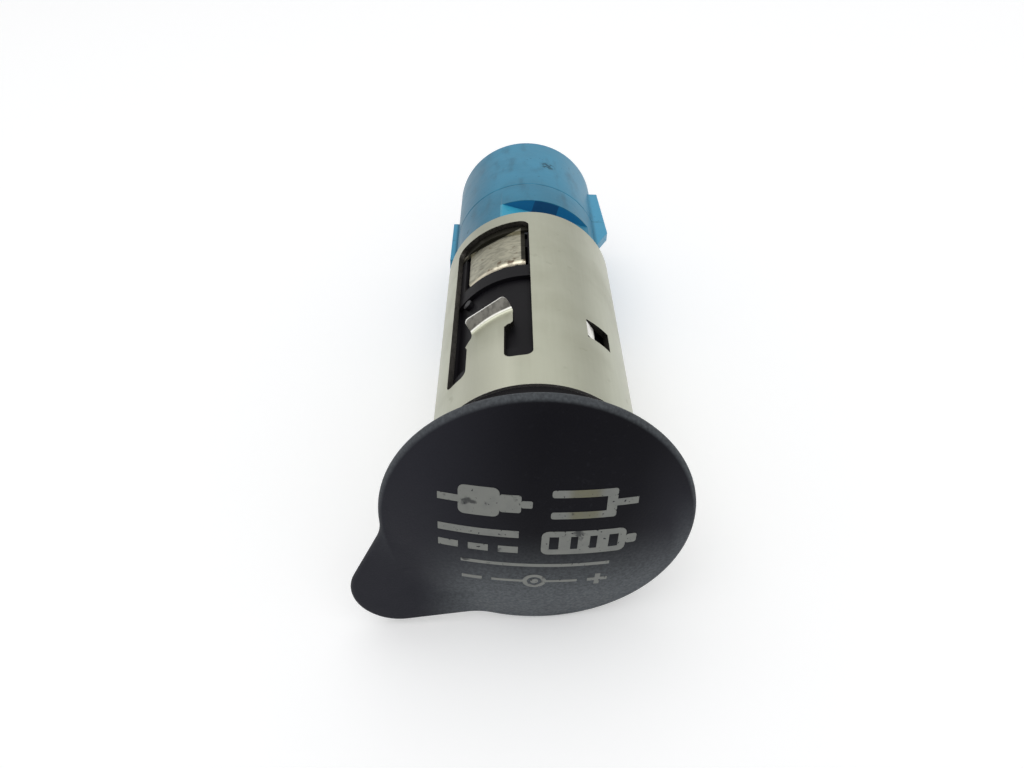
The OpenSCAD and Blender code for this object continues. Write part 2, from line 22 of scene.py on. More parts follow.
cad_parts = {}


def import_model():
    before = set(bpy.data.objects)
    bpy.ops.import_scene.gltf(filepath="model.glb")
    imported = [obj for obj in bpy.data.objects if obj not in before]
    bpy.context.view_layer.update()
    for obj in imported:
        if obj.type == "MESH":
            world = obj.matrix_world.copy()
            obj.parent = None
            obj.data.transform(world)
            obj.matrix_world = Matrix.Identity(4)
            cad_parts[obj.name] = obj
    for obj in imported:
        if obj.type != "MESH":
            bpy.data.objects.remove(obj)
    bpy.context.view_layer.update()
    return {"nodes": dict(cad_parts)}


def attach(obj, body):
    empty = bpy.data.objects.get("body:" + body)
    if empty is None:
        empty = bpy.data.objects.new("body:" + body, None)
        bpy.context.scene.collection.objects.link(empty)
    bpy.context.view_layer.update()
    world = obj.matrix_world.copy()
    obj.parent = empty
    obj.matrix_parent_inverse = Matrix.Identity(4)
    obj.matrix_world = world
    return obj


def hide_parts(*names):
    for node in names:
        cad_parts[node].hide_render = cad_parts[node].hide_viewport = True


LOG = logging.getLogger("power_socket")
MM = 0.001
Colour = tuple[float, float, float]

# Sizes that a piece shares with its finish, in millimetres and degrees.
LID_RADIUS = 17.7
SHELL_RADIUS = 12.6
HOUSING_RADIUS = 11.8
FLAT_ANGLE = 14.5
FLAT_HEIGHT = 9.44
FLAT_REAR = 47.3
POCKET_LEFT = -2.35
POCKET_RIGHT = 1.55


class Body(Enum):
    """The moving bodies of the CAD frame."""

    SOCKET = "socket"
    LID = "lid"


class Slot(Enum):
    """The record's material slots."""

    LID = "lid_plastic"
    PIN = "pin_steel"
    BARREL = "barrel_plastic"
    SHELL = "shell_steel"
    CLIP = "clip_metal"
    RIVET = "rivet_metal"
    BRASS = "terminal_brass"
    FIBRE = "fibre"
    HOUSING = "housing_plastic"


class Along(Enum):
    """The measures of a place on the object, each the name of the shader's property for it."""

    X = "x"
    Y = "y"
    Z = "z"
    RADIUS = "radius"


class Ray(Enum):
    """The kinds of ray that a shader can tell apart."""

    CAMERA = "Is Camera Ray"
    GLOSSY = "Is Glossy Ray"
    TRANSMISSION = "Is Transmission Ray"


# Shader maths


@dataclass(frozen=True)
class Fade:
    """A smooth step along one measure, from nothing at the start to full, in millimetres."""

    along: Along
    start: float
    full: float


Area = tuple[Fade, ...]


class Wire:
    """An output of a node, or a number, that adds Math nodes when it is used in an expression."""

    def __init__(self, shader: "Shader", socket: bpy.types.NodeSocket) -> None:
        """Keeps the tree that new nodes go into and the socket that this wire leaves from."""
        self.shader = shader
        self.socket = socket

    def _math(self, operation: str, first: Any, second: Any = 0.0) -> "Wire":
        """Adds one Math node with two values."""
        return self.shader.node("ShaderNodeMath", {"operation": operation}, {0: first, 1: second})

    def __add__(self, other: Any) -> "Wire":
        """This value plus another."""
        return self._math("ADD", self, other)

    def __radd__(self, other: Any) -> "Wire":
        """Another value plus this one."""
        return self._math("ADD", other, self)

    def __sub__(self, other: Any) -> "Wire":
        """This value less another."""
        return self._math("SUBTRACT", self, other)

    def __rsub__(self, other: Any) -> "Wire":
        """Another value less this one."""
        return self._math("SUBTRACT", other, self)

    def __mul__(self, other: Any) -> "Wire":
        """This value times another."""
        return self._math("MULTIPLY", self, other)

    def __rmul__(self, other: Any) -> "Wire":
        """Another value times this one."""
        return self._math("MULTIPLY", other, self)

    def above(self, limit: Any) -> "Wire":
        """1 where this value is above the limit, and 0 elsewhere."""
        return self._math("GREATER_THAN", self, limit)

    def below(self, limit: Any) -> "Wire":
        """1 where this value is below the limit, and 0 elsewhere."""
        return self._math("LESS_THAN", self, limit)

    def most(self, other: Any) -> "Wire":
        """The larger of this value and another."""
        return self._math("MAXIMUM", self, other)

    def root(self) -> "Wire":
        """The square root of this value."""
        return self._math("SQRT", self)

    def ramp(self, low: float, high: float) -> "Wire":
        """A smooth step from 0 at low to 1 at high, which may also run downwards.

        Args:
            low: The value at which the step starts.
            high: The value at which the step ends.

        Returns:
            The stepped value.
        """
        return self.shader.node(
            "ShaderNodeMapRange",
            {"interpolation_type": "SMOOTHSTEP"},
            {"Value": self, "From Min": low, "From Max": high},
        )


Value = Wire | float | Sequence[float]
Owner = bpy.types.Material | bpy.types.World


class Shader:
    """The node tree of a material or a world, with the object's own coordinates in millimetres."""

    def __init__(self, owner: Owner) -> None:
        """Starts an empty tree in the material or world."""
        self.owner = owner
        owner.use_nodes = True
        self.tree = owner.node_tree
        self.tree.nodes.clear()

    @cached_property
    def place(self) -> Wire:
        """The object's own coordinates in millimetres."""
        metres = self.node("ShaderNodeTexCoord", output="Object")
        return self.node("ShaderNodeVectorMath", {"operation": "SCALE"}, {0: metres, "Scale": 1.0 / MM})

    @cached_property
    def x(self) -> Wire:
        """The place along X."""
        return self.node("ShaderNodeSeparateXYZ", {}, {0: self.place}, "X")

    @cached_property
    def y(self) -> Wire:
        """The place along Y."""
        return self.node("ShaderNodeSeparateXYZ", {}, {0: self.place}, "Y")

    @cached_property
    def z(self) -> Wire:
        """The place along Z."""
        return self.node("ShaderNodeSeparateXYZ", {}, {0: self.place}, "Z")

    @cached_property
    def radius(self) -> Wire:
        """The distance from the well's axis."""
        return (self.x * self.x + self.z * self.z).root()

    def node(
        self,
        kind: str,
        settings: Mapping[str, Any] | None = None,
        sockets: Mapping[str | int, Value] | None = None,
        output: str | int = 0,
    ) -> Wire:
        """Adds any node.

        Args:
            kind: The node's type.
            settings: Its properties, which are set first.
            sockets: Values or wires for its inputs, by name or number.
            output: The output that the returned wire leaves from.

        Returns:
            A wire from that output.
        """
        made = self.tree.nodes.new(kind)
        for key, value in (settings or {}).items():
            setattr(made, key, value)
        for key, value in (sockets or {}).items():
            socket = made.inputs[key]
            if isinstance(value, Wire):
                self.tree.links.new(value.socket, socket)
            elif isinstance(value, (int, float)):
                socket.default_value = value
            else:
                full = len(socket.default_value)
                socket.default_value = (*value, 1.0)[:full]
        return Wire(self, made.outputs[output])

    def mix(self, factor: Value, first: Value, second: Value) -> Wire:
        """Mixes two colours, from the first at 0 to the second at 1."""
        return self.node("ShaderNodeMix", {"data_type": "RGBA"}, {0: factor, 6: first, 7: second}, 2)

    def stretched(self, x: float, y: float, z: float) -> Wire:
        """The object's coordinates in millimetres, times a factor along each axis."""
        return self.node(
            "ShaderNodeVectorMath", {"operation": "MULTIPLY"}, {0: self.place, 1: (x, y, z)}
        )

    def noise(self, scale: float, detail: float, place: Wire | None = None) -> Wire:
        """Cloudy noise from 0 to 1.

        Args:
            scale: Waves to the millimetre.
            detail: Number of finer octaves.
            place: The coordinates to read, the object's own where none are given.

        Returns:
            The noise's value.
        """
        return self.node(
            "ShaderNodeTexNoise",
            {},
            {"Vector": place or self.place, "Scale": scale, "Detail": detail},
        )

    def bump(self, height: Wire, depth: float) -> Wire:
        """The normal of a relief, whose height of 1 stands for a depth in millimetres."""
        return self.node("ShaderNodeBump", {}, {"Height": height, "Distance": depth * MM})

    def area(self, fades: Area) -> Wire:
        """A soft-edged area.

        Args:
            fades: The steps that bound it, one or more.

        Returns:
            The product of the steps: 1 where all are full, and 0 where one hasn't begun.
        """
        steps = [getattr(self, fade.along.value).ramp(fade.start, fade.full) for fade in fades]
        return math.prod(steps[1:], start=steps[0])

    def away(self, x: float, y: float, squash: float = 1.0) -> Wire:
        """Distance from a point, seen from above.

        Args:
            x: The point's place along X.
            y: The point's place along Y.
            squash: What the square of the distance along X is multiplied by.

        Returns:
            The distance in millimetres.
        """
        from_x, from_y = self.x - x, self.y - y
        return (from_x * from_x * squash + from_y * from_y).root()

    def ray(self, kind: Ray) -> Wire:
        """1 for rays of one kind, and 0 for all others."""
        return self.node("ShaderNodeLightPath", output=kind.value)

    def surface(
        self, colour: Value, rough: Value, normal: Wire, metallic: Value = 0.0, specular: float = 0.5
    ) -> bpy.types.Material:
        """Ends the tree with a surface of one of the object's pieces.

        Args:
            colour: Its base colour.
            rough: Its roughness.
            normal: The normal of its fine relief.
            metallic: 1 for bare metal and 0 for anything else.
            specular: Strength of the shine on what isn't metal.

        Returns:
            The finished material.
        """
        return self.close(
            "ShaderNodeBsdfPrincipled",
            {
                "Base Color": colour,
                "Metallic": metallic,
                "Roughness": rough,
                "Specular IOR Level": specular,
                "Normal": normal,
            },
        )

    def close(self, kind: str, sockets: Mapping[str | int, Value]) -> Owner:
        """Ends the tree with a shader node that feeds the output.

        Args:
            kind: The shader node's type.
            sockets: Values or wires for its inputs.

        Returns:
            The finished material or world.
        """
        surface = self.node(kind, {}, sockets)
        world = isinstance(self.owner, bpy.types.World)
        end = self.tree.nodes.new("ShaderNodeOutputWorld" if world else "ShaderNodeOutputMaterial")
        self.tree.links.new(surface.socket, end.inputs["Surface"])
        return self.owner


# Finishes


@dataclass(frozen=True)
class Finish:
    """A finish that several pieces may share."""

    name: str

    def material(self) -> bpy.types.Material:
        """The finish's material, made the first time it is asked for."""
        found = bpy.data.materials.get(self.name)
        return found or self.dress(Shader(bpy.data.materials.new(self.name)))

    def dress(self, shader: Shader) -> bpy.types.Material:
        """Builds the node tree in the material's empty shader."""
        raise NotImplementedError


@dataclass(frozen=True)
class GrainedPlastic(Finish):
    """Black moulded plastic with a fine spark-eroded grain, greyer to the sides, with a painted reflection
    low down and on its right edge and a painted highlight on its upper rim.
    """

    dark: Colour = (0.0028, 0.0027, 0.005)
    rubbed_and_highlight: Colour = (0.0225, 0.023, 0.0305)
    # Colour of the painted reflection of the table and of the painted highlight on the rim.
    painted_reflection: Colour = (0.142, 0.156, 0.168)
    rough: float = 0.55
    grain: float = 4.2
    grain_depth: float = 0.022
    # The colour turns greyer towards the left and, below the top, towards the right.
    greyer_left: Area = (Fade(Along.X, 1.0, -15.0),)
    greyer_right: Area = (Fade(Along.X, 8.0, 17.0), Fade(Along.Z, 18.0, 0.0))
    # Painted reflection of the table on the lower part and the lower right edge, and a painted highlight
    # along the upper rim.
    low: Area = (Fade(Along.Z, 2.0, -12.0), Fade(Along.X, -14.5, -5.0))
    side: Area = (Fade(Along.RADIUS, 14.0, 17.4), Fade(Along.X, 6.0, 14.0), Fade(Along.Z, 6.0, -6.0))
    rim: Area = (Fade(Along.RADIUS, LID_RADIUS - 0.6, LID_RADIUS - 0.15), Fade(Along.Z, -9.0, 9.0))

    def dress(self, shader: Shader) -> bpy.types.Material:
        """Builds the node tree.

        Args:
            shader: The material's empty tree.

        Returns:
            The material.
        """
        cloud = shader.noise(0.09, 3.0).ramp(0.38, 0.72)
        specks = shader.noise(1.6, 4.0).ramp(0.6, 0.74)
        # Patchy noise that breaks up the painted reflection.
        rubs = shader.noise(2.8, 4.0).ramp(0.2, 0.85)
        greyer_sides = shader.area(self.greyer_left).most(shader.area(self.greyer_right)) * 0.88
        colour = shader.mix(greyer_sides.most(cloud * 0.08 + specks * 0.15), self.dark, self.rubbed_and_highlight)
        # Painted reflection and highlight on the low part, the rim and the right edge.
        worn = shader.area(self.low).most(shader.area(self.rim) * 0.6)
        worn = worn.most(shader.area(self.side) * 0.75)
        return shader.surface(
            shader.mix(worn * (0.5 + rubs * 0.5), colour, self.painted_reflection),
            self.rough + cloud * 0.08 - specks * 0.06,
            shader.bump(shader.noise(self.grain, 1.0), self.grain_depth),
            specular=0.1,
        )


@dataclass(frozen=True)
class WornPrint(Finish):
    """Silver pad print with a yellowed patch, and pinholes and rubs where the plastic shows."""

    silver: Colour = (0.205, 0.212, 0.196)
    yellowed: Colour = (0.15, 0.145, 0.085)
    dulled: Colour = (0.13, 0.136, 0.135)
    base: Colour = (0.007, 0.008, 0.012)
    patch: Area = (Fade(Along.X, 2.6, 3.8), Fade(Along.X, 7.0, 5.8), Fade(Along.Z, 2.0, 4.0))

    def dress(self, shader: Shader) -> bpy.types.Material:
        """Builds the node tree.

        Args:
            shader: The material's empty tree.

        Returns:
            The material.
        """
        tone = shader.mix(shader.area(self.patch) * 0.85, self.silver, self.yellowed)
        tone = shader.mix(shader.noise(0.7, 3.0).ramp(0.4, 0.75) * 0.35, tone, self.dulled)
        pinholes = shader.noise(2.6, 3.0).ramp(0.655, 0.69)
        rubbed_and_highlight = shader.noise(0.45, 5.0).ramp(0.62, 0.7)
        gone = pinholes.most(rubbed_and_highlight * 0.8)
        relief = shader.bump(shader.noise(4.2, 1.0), 0.012)
        return shader.surface(
            shader.mix(gone, tone, self.base), 0.42 + gone * 0.12, relief, specular=0.3
        )


@dataclass(frozen=True)
class SheetSteel(Finish):
    """Satin plated sheet steel with drawing streaks and dull stains.

    It has painted light round the foot of the latch tongue. The raised lip is scored and grey, with a
    painted highlight along its bend where it comes out of the tube.
    """

    clean: Colour = (0.485, 0.495, 0.4)
    dull: Colour = (0.37, 0.37, 0.288)
    # Painted light round the foot of the latch tongue.
    bright: Colour = (0.63, 0.635, 0.525)
    lip: Colour = (0.265, 0.256, 0.23)
    scored: Colour = (0.15, 0.145, 0.13)
    # Painted highlight along the lip's bend.
    crease: Colour = (0.95, 0.94, 0.88)
    rough: float = 0.36
    foot: Area = (Fade(Along.Y, 12.5, 6.5), Fade(Along.X, -2.0, -3.8), Fade(Along.X, -10.5, -8.8))
    raised: Area = (Fade(Along.RADIUS, SHELL_RADIUS + 0.3, SHELL_RADIUS + 0.42),)
    bend: Area = (
        Fade(Along.RADIUS, SHELL_RADIUS + 0.16, SHELL_RADIUS + 0.24),
        Fade(Along.RADIUS, SHELL_RADIUS + 0.42, SHELL_RADIUS + 0.34),
    )

    def dress(self, shader: Shader) -> bpy.types.Material:
        """Builds the node tree.

        Args:
            shader: The material's empty tree.

        Returns:
            The material.
        """
        streaks = shader.noise(2.4, 4.0, shader.stretched(1.0, 0.06, 1.0))
        cloud = shader.noise(0.14, 4.0).ramp(0.35, 0.75)
        stains = shader.noise(0.5, 5.0).ramp(0.64, 0.74)
        scores = shader.noise(2.2, 3.0, shader.stretched(1.0, 1.0, 0.3)).ramp(0.4, 0.75)
        raised = shader.area(self.raised)
        colour = shader.mix(cloud * 0.4 + streaks * 0.25 + stains * 0.3, self.clean, self.dull)
        # Painted light round the foot of the latch tongue.
        colour = shader.mix(shader.area(self.foot) * 0.55, colour, self.bright)
        colour = shader.mix(raised, colour, shader.mix(scores, self.lip, self.scored))
        return shader.surface(
            # Painted highlight along the lip's bend.
            shader.mix(shader.area(self.bend), colour, self.crease),
            self.rough + streaks * 0.05 + cloud * 0.07 + stains * 0.08,
            shader.bump(shader.noise(7.0, 2.0) * 0.6 + streaks + scores * raised, 0.006),
            metallic=1.0,
        )


@dataclass(frozen=True)
class CutSteel(Finish):
    """A sheared or bent face of the steel sheet, with torn lines across its thickness."""

    # The default colours paint shade onto the sheared faces that face into the holes.
    clean: Colour = (0.08, 0.075, 0.066)
    torn: Colour = (0.03, 0.028, 0.025)
    rough: float = 0.38

    def dress(self, shader: Shader) -> bpy.types.Material:
        """Builds the node tree.

        Args:
            shader: The material's empty tree.

        Returns:
            The material.
        """
        lines = shader.noise(3.2, 3.0, shader.stretched(1.0, 0.35, 1.0))
        colour = shader.mix(lines.ramp(0.42, 0.7) * 0.7, self.clean, self.torn)
        return shader.surface(colour, self.rough + lines * 0.15, shader.bump(lines, 0.01), metallic=1.0)


@dataclass(frozen=True)
class SpringStrip(Finish):
    """Plated spring strip: a painted highlight on the front fold, a stained plate behind it, and painted
    shade round the plate.

    The plate ends at a plane, which is given by its normal and its distance from the origin, with a
    scored line just before it.
    """

    plate: Colour = (0.48, 0.46, 0.355)
    shade: Colour = (0.28, 0.272, 0.215)
    stain: Colour = (0.1, 0.06, 0.028)
    # Painted highlight along the front fold.
    bright: Colour = (0.85, 0.78, 0.62)
    # Painted shade where the strip lies in the shadowed gap beyond the plate.
    painted_shade: Colour = (0.016, 0.015, 0.011)
    rear_normal: tuple[float, float, float] = (-0.4914, 0.4151, 0.7657)
    rear_distance: float = 25.62
    fold: Area = (Fade(Along.Y, 29.4, 29.15),)
    by_fold: Area = (Fade(Along.Y, 31.6, 29.3), Fade(Along.X, -7.5, -4.5))
    beside: Area = (Fade(Along.X, -1.85, -1.7), Fade(Along.Y, 29.5, 29.7))

    def dress(self, shader: Shader) -> bpy.types.Material:
        """Builds the node tree.

        Args:
            shader: The material's empty tree.

        Returns:
            The material.
        """
        stained = (shader.noise(0.9, 5.0) + shader.area(self.by_fold) * 0.16).ramp(0.6, 0.74)
        mottled = shader.noise(0.9, 5.0, shader.stretched(1.0, 2.2, 1.0)).ramp(0.36, 0.68)
        across, along, up = self.rear_normal
        beyond = shader.x * across + shader.y * along + shader.z * up - self.rear_distance
        score = beyond.ramp(-0.36, -0.32) * beyond.ramp(-0.26, -0.3)
        # Painted shade beyond the plate's rear end and beside its right edge.
        in_painted_shade = beyond.ramp(-0.03, 0.06).most(shader.area(self.beside))
        colour = shader.mix(mottled * 0.8, self.plate, self.shade)
        colour = shader.mix((stained * 0.85).most(score * 0.35), colour, self.stain)
        colour = shader.mix(in_painted_shade * 0.96, colour, self.painted_shade)
        return shader.surface(
            # Painted highlight along the front fold.
            shader.mix(shader.area(self.fold) * 0.9, colour, self.bright),
            0.34 + stained * 0.3 + mottled * 0.1 + in_painted_shade * 0.2,
            shader.bump(mottled * 0.5 + stained - score * 0.5, 0.012),
            metallic=1.0 - stained * 0.6,
        )


@dataclass(frozen=True)
class DrawnMetal(Finish):
    """Plain turned or stamped metal with fine scratches."""

    clean: Colour = (0.55, 0.55, 0.53)
    tarnish: Colour = (0.36, 0.35, 0.32)
    rough: float = 0.32

    def dress(self, shader: Shader) -> bpy.types.Material:
        """Builds the node tree.

        Args:
            shader: The material's empty tree.

        Returns:
            The material.
        """
        scratches = shader.noise(4.0, 3.0, shader.stretched(1.0, 0.15, 1.0))
        cloud = shader.noise(0.5, 4.0).ramp(0.4, 0.75)
        return shader.surface(
            shader.mix(cloud * 0.7 + scratches * 0.2, self.clean, self.tarnish),
            self.rough + scratches * 0.12 + cloud * 0.1,
            shader.bump(scratches, 0.008),
            metallic=1.0,
        )


@dataclass(frozen=True)
class BlackMoulding(Finish):
    """Smooth black moulded plastic with faint flow marks, a little dust and a painted highlight on one
    nub.
    """

    black: Colour = (0.0045, 0.004, 0.0055)
    dust: Colour = (0.02, 0.019, 0.02)
    # Colour of the painted highlight on the nub.
    rubbed_and_highlight: Colour = (0.05, 0.05, 0.052)
    nub: tuple[float, float] = (-8.88, 23.7)
    nub_squash: float = 2.4
    nub_foot: float = 11.2

    def dress(self, shader: Shader) -> bpy.types.Material:
        """Builds the node tree.

        Args:
            shader: The material's empty tree.

        Returns:
            The material.
        """
        flow = shader.noise(0.35, 3.0, shader.stretched(1.0, 0.4, 1.0))
        dust = shader.noise(1.1, 5.0).ramp(0.6, 0.78)
        # Painted highlight on the nub beside the window.
        nub = shader.away(*self.nub, self.nub_squash).ramp(0.8, 0.6) * shader.z.above(0.0)
        colour = shader.mix(dust * 0.5, self.black, self.dust)
        return shader.surface(
            shader.mix(nub * shader.radius.above(self.nub_foot), colour, self.rubbed_and_highlight),
            0.42 + flow * 0.14 + dust * 0.15,
            shader.bump(flow + shader.noise(3.0, 2.0) * 0.3, 0.02),
            specular=0.12,
        )


@dataclass(frozen=True)
class TintedPlastic(Finish):
    """Blue moulding that reads as see-through: bright where it is thin, with painted shade in the recess,
    smudged.

    It has painted shade where the shell covers it, and round the room behind the well's floor.
    """

    body: Colour = (0.057, 0.258, 0.4)
    near: Colour = (0.035, 0.19, 0.3)
    shaded: Colour = (0.016, 0.135, 0.225)
    edge: Colour = (0.07, 0.34, 0.53)
    thin: Colour = (0.045, 0.37, 0.55)
    # Painted shade on the recess's walls; the panel below is darker painted shade in the pocket.
    wall: Colour = (0.016, 0.17, 0.37)
    panel: Colour = (0.015, 0.085, 0.205)
    # Painted shade under the shell and round the room behind the well's floor.
    dark: Colour = (0.006, 0.022, 0.04)
    smudge: Colour = (0.025, 0.085, 0.125)
    covered: float = 41.3
    room: float = 9.25
    room_rear: float = 46.9
    rearwards: Area = (Fade(Along.Y, 46.0, 62.0),)
    leftwards: Area = (Fade(Along.X, 4.0, -6.0),)
    left_side: Area = (Fade(Along.X, -4.0, -10.0),)
    wings: Area = (Fade(Along.RADIUS, HOUSING_RADIUS + 0.06, HOUSING_RADIUS + 0.5),)
    worn_line: Area = (Fade(Along.Y, 52.8, 53.0), Fade(Along.Y, 53.4, 53.2))
    spots: tuple[tuple[float, float, float], ...] = ((3.1, 61.3, 1.5), (-9.64, 45.96, 0.45))

    def dress(self, shader: Shader) -> bpy.types.Material:
        """Builds the node tree.

        Args:
            shader: The material's empty tree.

        Returns:
            The material.
        """
        turn = math.radians(FLAT_ANGLE)
        across = shader.x * math.cos(turn) - shader.z * math.sin(turn)
        height = shader.x * math.sin(turn) + shader.z * math.cos(turn)
        cloud = shader.noise(0.16, 3.0).ramp(0.3, 0.75)
        murky = shader.noise(0.3, 3.0).ramp(0.45, 0.7) * shader.area(self.leftwards)
        streaks = shader.noise(0.5, 5.0, shader.stretched(1.0, 0.35, 1.0)).ramp(0.5, 0.8)
        colour = shader.mix(shader.area(self.rearwards), self.near, self.body)
        for share, over in (
            (cloud * 0.25, self.edge),
            (murky * 0.5, self.near),
            (shader.area(self.left_side) * 0.75, self.shaded),
            (streaks * 0.45, self.smudge),
            (shader.area(self.wings), self.edge),
            # Painted shade on the recess's walls and in its pocket.
            (self.recess(shader, height), self.walls(shader, across)),
            (self.floor(shader, across, height) * 0.95, self.thin),
            # Painted shade where the shell covers it.
            (self.hidden(shader), self.dark),
        ):
            colour = shader.mix(share, colour, over)
        marks = self.marks(shader)
        return shader.surface(
            shader.mix(marks, colour, self.smudge),
            0.34 + cloud * 0.08 + marks * 0.2,
            shader.bump(shader.noise(0.9, 4.0), 0.03),
            specular=0.2,
        )

    def recess(self, shader: Shader, height: Wire) -> Wire:
        """The walls of the recess and of its pocket, as 1 there and 0 elsewhere."""
        deep = shader.y.below(FLAT_REAR + 2.2) * shader.y.above(FLAT_REAR - 0.05)
        return deep * (height.above(FLAT_HEIGHT - 0.05) * shader.radius.below(HOUSING_RADIUS - 0.12))

    def walls(self, shader: Shader, across: Wire) -> Wire:
        """The painted shade of the recess's walls, with darker painted shade in the pocket."""
        panel = across.above(POCKET_LEFT) * across.below(POCKET_RIGHT)
        plain = shader.mix(across.ramp(4.0, 7.0) * 0.2, self.wall, self.thin)
        return shader.mix(panel, plain, self.panel)

    def floor(self, shader: Shader, across: Wire, height: Wire) -> Wire:
        """The thin floor of the recess, as 1 there, fading out on its right."""
        level = height.above(FLAT_HEIGHT - 0.2) * height.below(FLAT_HEIGHT + 0.05)
        return shader.y.below(FLAT_REAR) * level * across.ramp(6.5, 3.5)

    def hidden(self, shader: Shader) -> Wire:
        """Where shade is painted: what the shell covers, and the room behind the well's floor, as 1 there
        and 0 elsewhere.
        """
        room = shader.radius.below(self.room) * shader.y.below(self.room_rear)
        return shader.y.below(self.covered).most(room)

    def marks(self, shader: Shader) -> Wire:
        """Smudges all over, a worn line round the body and dark spots.

        Args:
            shader: The material's tree.

        Returns:
            The strength of the marks, from 0 to 1.
        """
        line = shader.area(self.worn_line) * shader.noise(0.5, 3.0).ramp(0.4, 0.6) * 0.5
        found = (shader.noise(1.5, 5.0).ramp(0.66, 0.76) * 0.55).most(line)
        for x, y, size in self.spots:
            spot = shader.away(x, y).ramp(size, size * 0.5) * shader.noise(1.4, 3.0).ramp(0.4, 0.52)
            found = found.most(spot * shader.z.above(0.0) * 0.9)
        return found


@dataclass(frozen=True)
class PressedFibre(Finish):
    """Brown pressed fibre board."""

    board: Colour = (0.2, 0.11, 0.06)
    threads: Colour = (0.1, 0.05, 0.028)

    def dress(self, shader: Shader) -> bpy.types.Material:
        """Builds the node tree.

        Args:
            shader: The material's empty tree.

        Returns:
            The material.
        """
        threads = shader.noise(2.2, 5.0)
        colour = shader.mix(threads.ramp(0.35, 0.7), self.board, self.threads)
        return shader.surface(colour, 0.75 + threads * 0.1, shader.bump(threads, 0.03))


@dataclass(frozen=True)
class WhiteTable(Finish):
    """Plain white table top, lifted to the camera so that it reads as white paper."""

    paper: Colour = (0.86, 0.865, 0.87)
    greyer: Colour = (0.84, 0.845, 0.86)
    lift: float = 0.27

    def dress(self, shader: Shader) -> bpy.types.Material:
        """Builds the node tree.

        Args:
            shader: The material's empty tree.

        Returns:
            The material.
        """
        return shader.close(
            "ShaderNodeBsdfPrincipled",
            {
                "Base Color": shader.mix(shader.noise(0.02, 3.0) * 0.2, self.paper, self.greyer),
                "Roughness": 0.9,
                "Specular IOR Level": 0.1,
                "Emission Color": (1.0, 1.0, 1.0),
                "Emission Strength": shader.ray(Ray.CAMERA).most(shader.ray(Ray.GLOSSY)) * self.lift,
            },
        )


LID_PLASTIC = GrainedPlastic("lid_grained_black")
PRINT = WornPrint("lid_silver_print")
STEEL = SheetSteel("shell_satin_steel")
# Painted shade on the sheared faces that face into the holes.
CUT = CutSteel("shell_cut_edge")
# Painted highlight on the rounded edges, the outward and front cut faces and the lanced tab.
RIM = CutSteel("shell_bright_edge", clean=(0.93, 0.92, 0.88), torn=(0.78, 0.76, 0.7), rough=0.3)
STRIP = SpringStrip("ground_spring_strip")
PIN = DrawnMetal("hinge_drawn_steel")
RIVETS = DrawnMetal("rivet_plated", clean=(0.68, 0.63, 0.46), tarnish=(0.45, 0.39, 0.26), rough=0.3)
BRASS = DrawnMetal("terminal_brass", clean=(0.72, 0.55, 0.27), tarnish=(0.45, 0.3, 0.13), rough=0.28)
BLACK = BlackMoulding("barrel_black")
BLUE = TintedPlastic("housing_tinted_blue")
BOARD = PressedFibre("contact_fibre")
TABLE = WhiteTable("white_table")


# Mesh tools


@dataclass(frozen=True)
class Place:
    """Where a finished piece belongs: its body, its slot and the CAD nodes that it stands for."""

    body: Body
    slot: Slot
    nodes: tuple[str, ...] = ()


def points(geom: Sequence[Any]) -> list[BMVert]:
    """The vertices among the elements that an operator returned."""
    return [item for item in geom if isinstance(item, BMVert)]


class Contour:
    """A line of edges in the XY plane that grows from one vertex by straight runs and arcs."""

    def __init__(self, bm: BMesh, x: float, y: float) -> None:
        """Starts at the point."""
        self.bm = bm
        self.start = self.end = bm.verts.new((x, y, 0.0))

    def line(self, *places: tuple[float, float]) -> "Contour":
        """Adds straight runs.

        Args:
            places: The places that the runs go through.

        Returns:
            The contour itself.
        """
        for x, y in places:
            made = bmesh.ops.extrude_vert_indiv(self.bm, verts=[self.end])
            self.end = made["verts"][0]
            self.end.co = (x, y, 0.0)
        return self

    def arc(self, x: float, y: float, degrees: float, steps: int = 6) -> "Contour":
        """Adds an arc about a centre.

        Args:
            x: Centre of the arc along X.
            y: Centre of the arc along Y.
            degrees: Angle of the arc, anticlockwise.
            steps: Number of straight parts.

        Returns:
            The contour itself.
        """
        made = bmesh.ops.spin(
            self.bm, geom=[self.end], cent=(x, y, 0.0), axis=(0.0, 0.0, 1.0),
            angle=math.radians(degrees), steps=steps, use_duplicate=False,
        )
        self.end = points(made["geom_last"])[0]
        return self

    def corner(self, x: float, y: float, radius: float, turn: int) -> "Contour":
        """Goes straight towards a right-angled corner and round it.

        Args:
            x: The corner's place along X.
            y: The corner's place along Y.
            radius: Radius of the rounded corner.
            turn: 1 for a corner to the left and -1 for one to the right.

        Returns:
            The contour itself.
        """
        corner = Vector((x, y, 0.0))
        ahead = (corner - self.end.co).normalized()
        side = Vector((-ahead.y, ahead.x, 0.0)) * turn
        begin = corner - ahead * radius
        centre = begin + side * radius
        self.line((begin.x, begin.y))
        return self.arc(centre.x, centre.y, 90.0 * turn, 5)

    def close(self) -> None:
        """Joins the end to the start."""
        if (self.end.co - self.start.co).length < 1e-4:
            bmesh.ops.pointmerge(self.bm, verts=[self.end, self.start], merge_co=self.start.co)
        else:
            self.bm.edges.new((self.end, self.start))


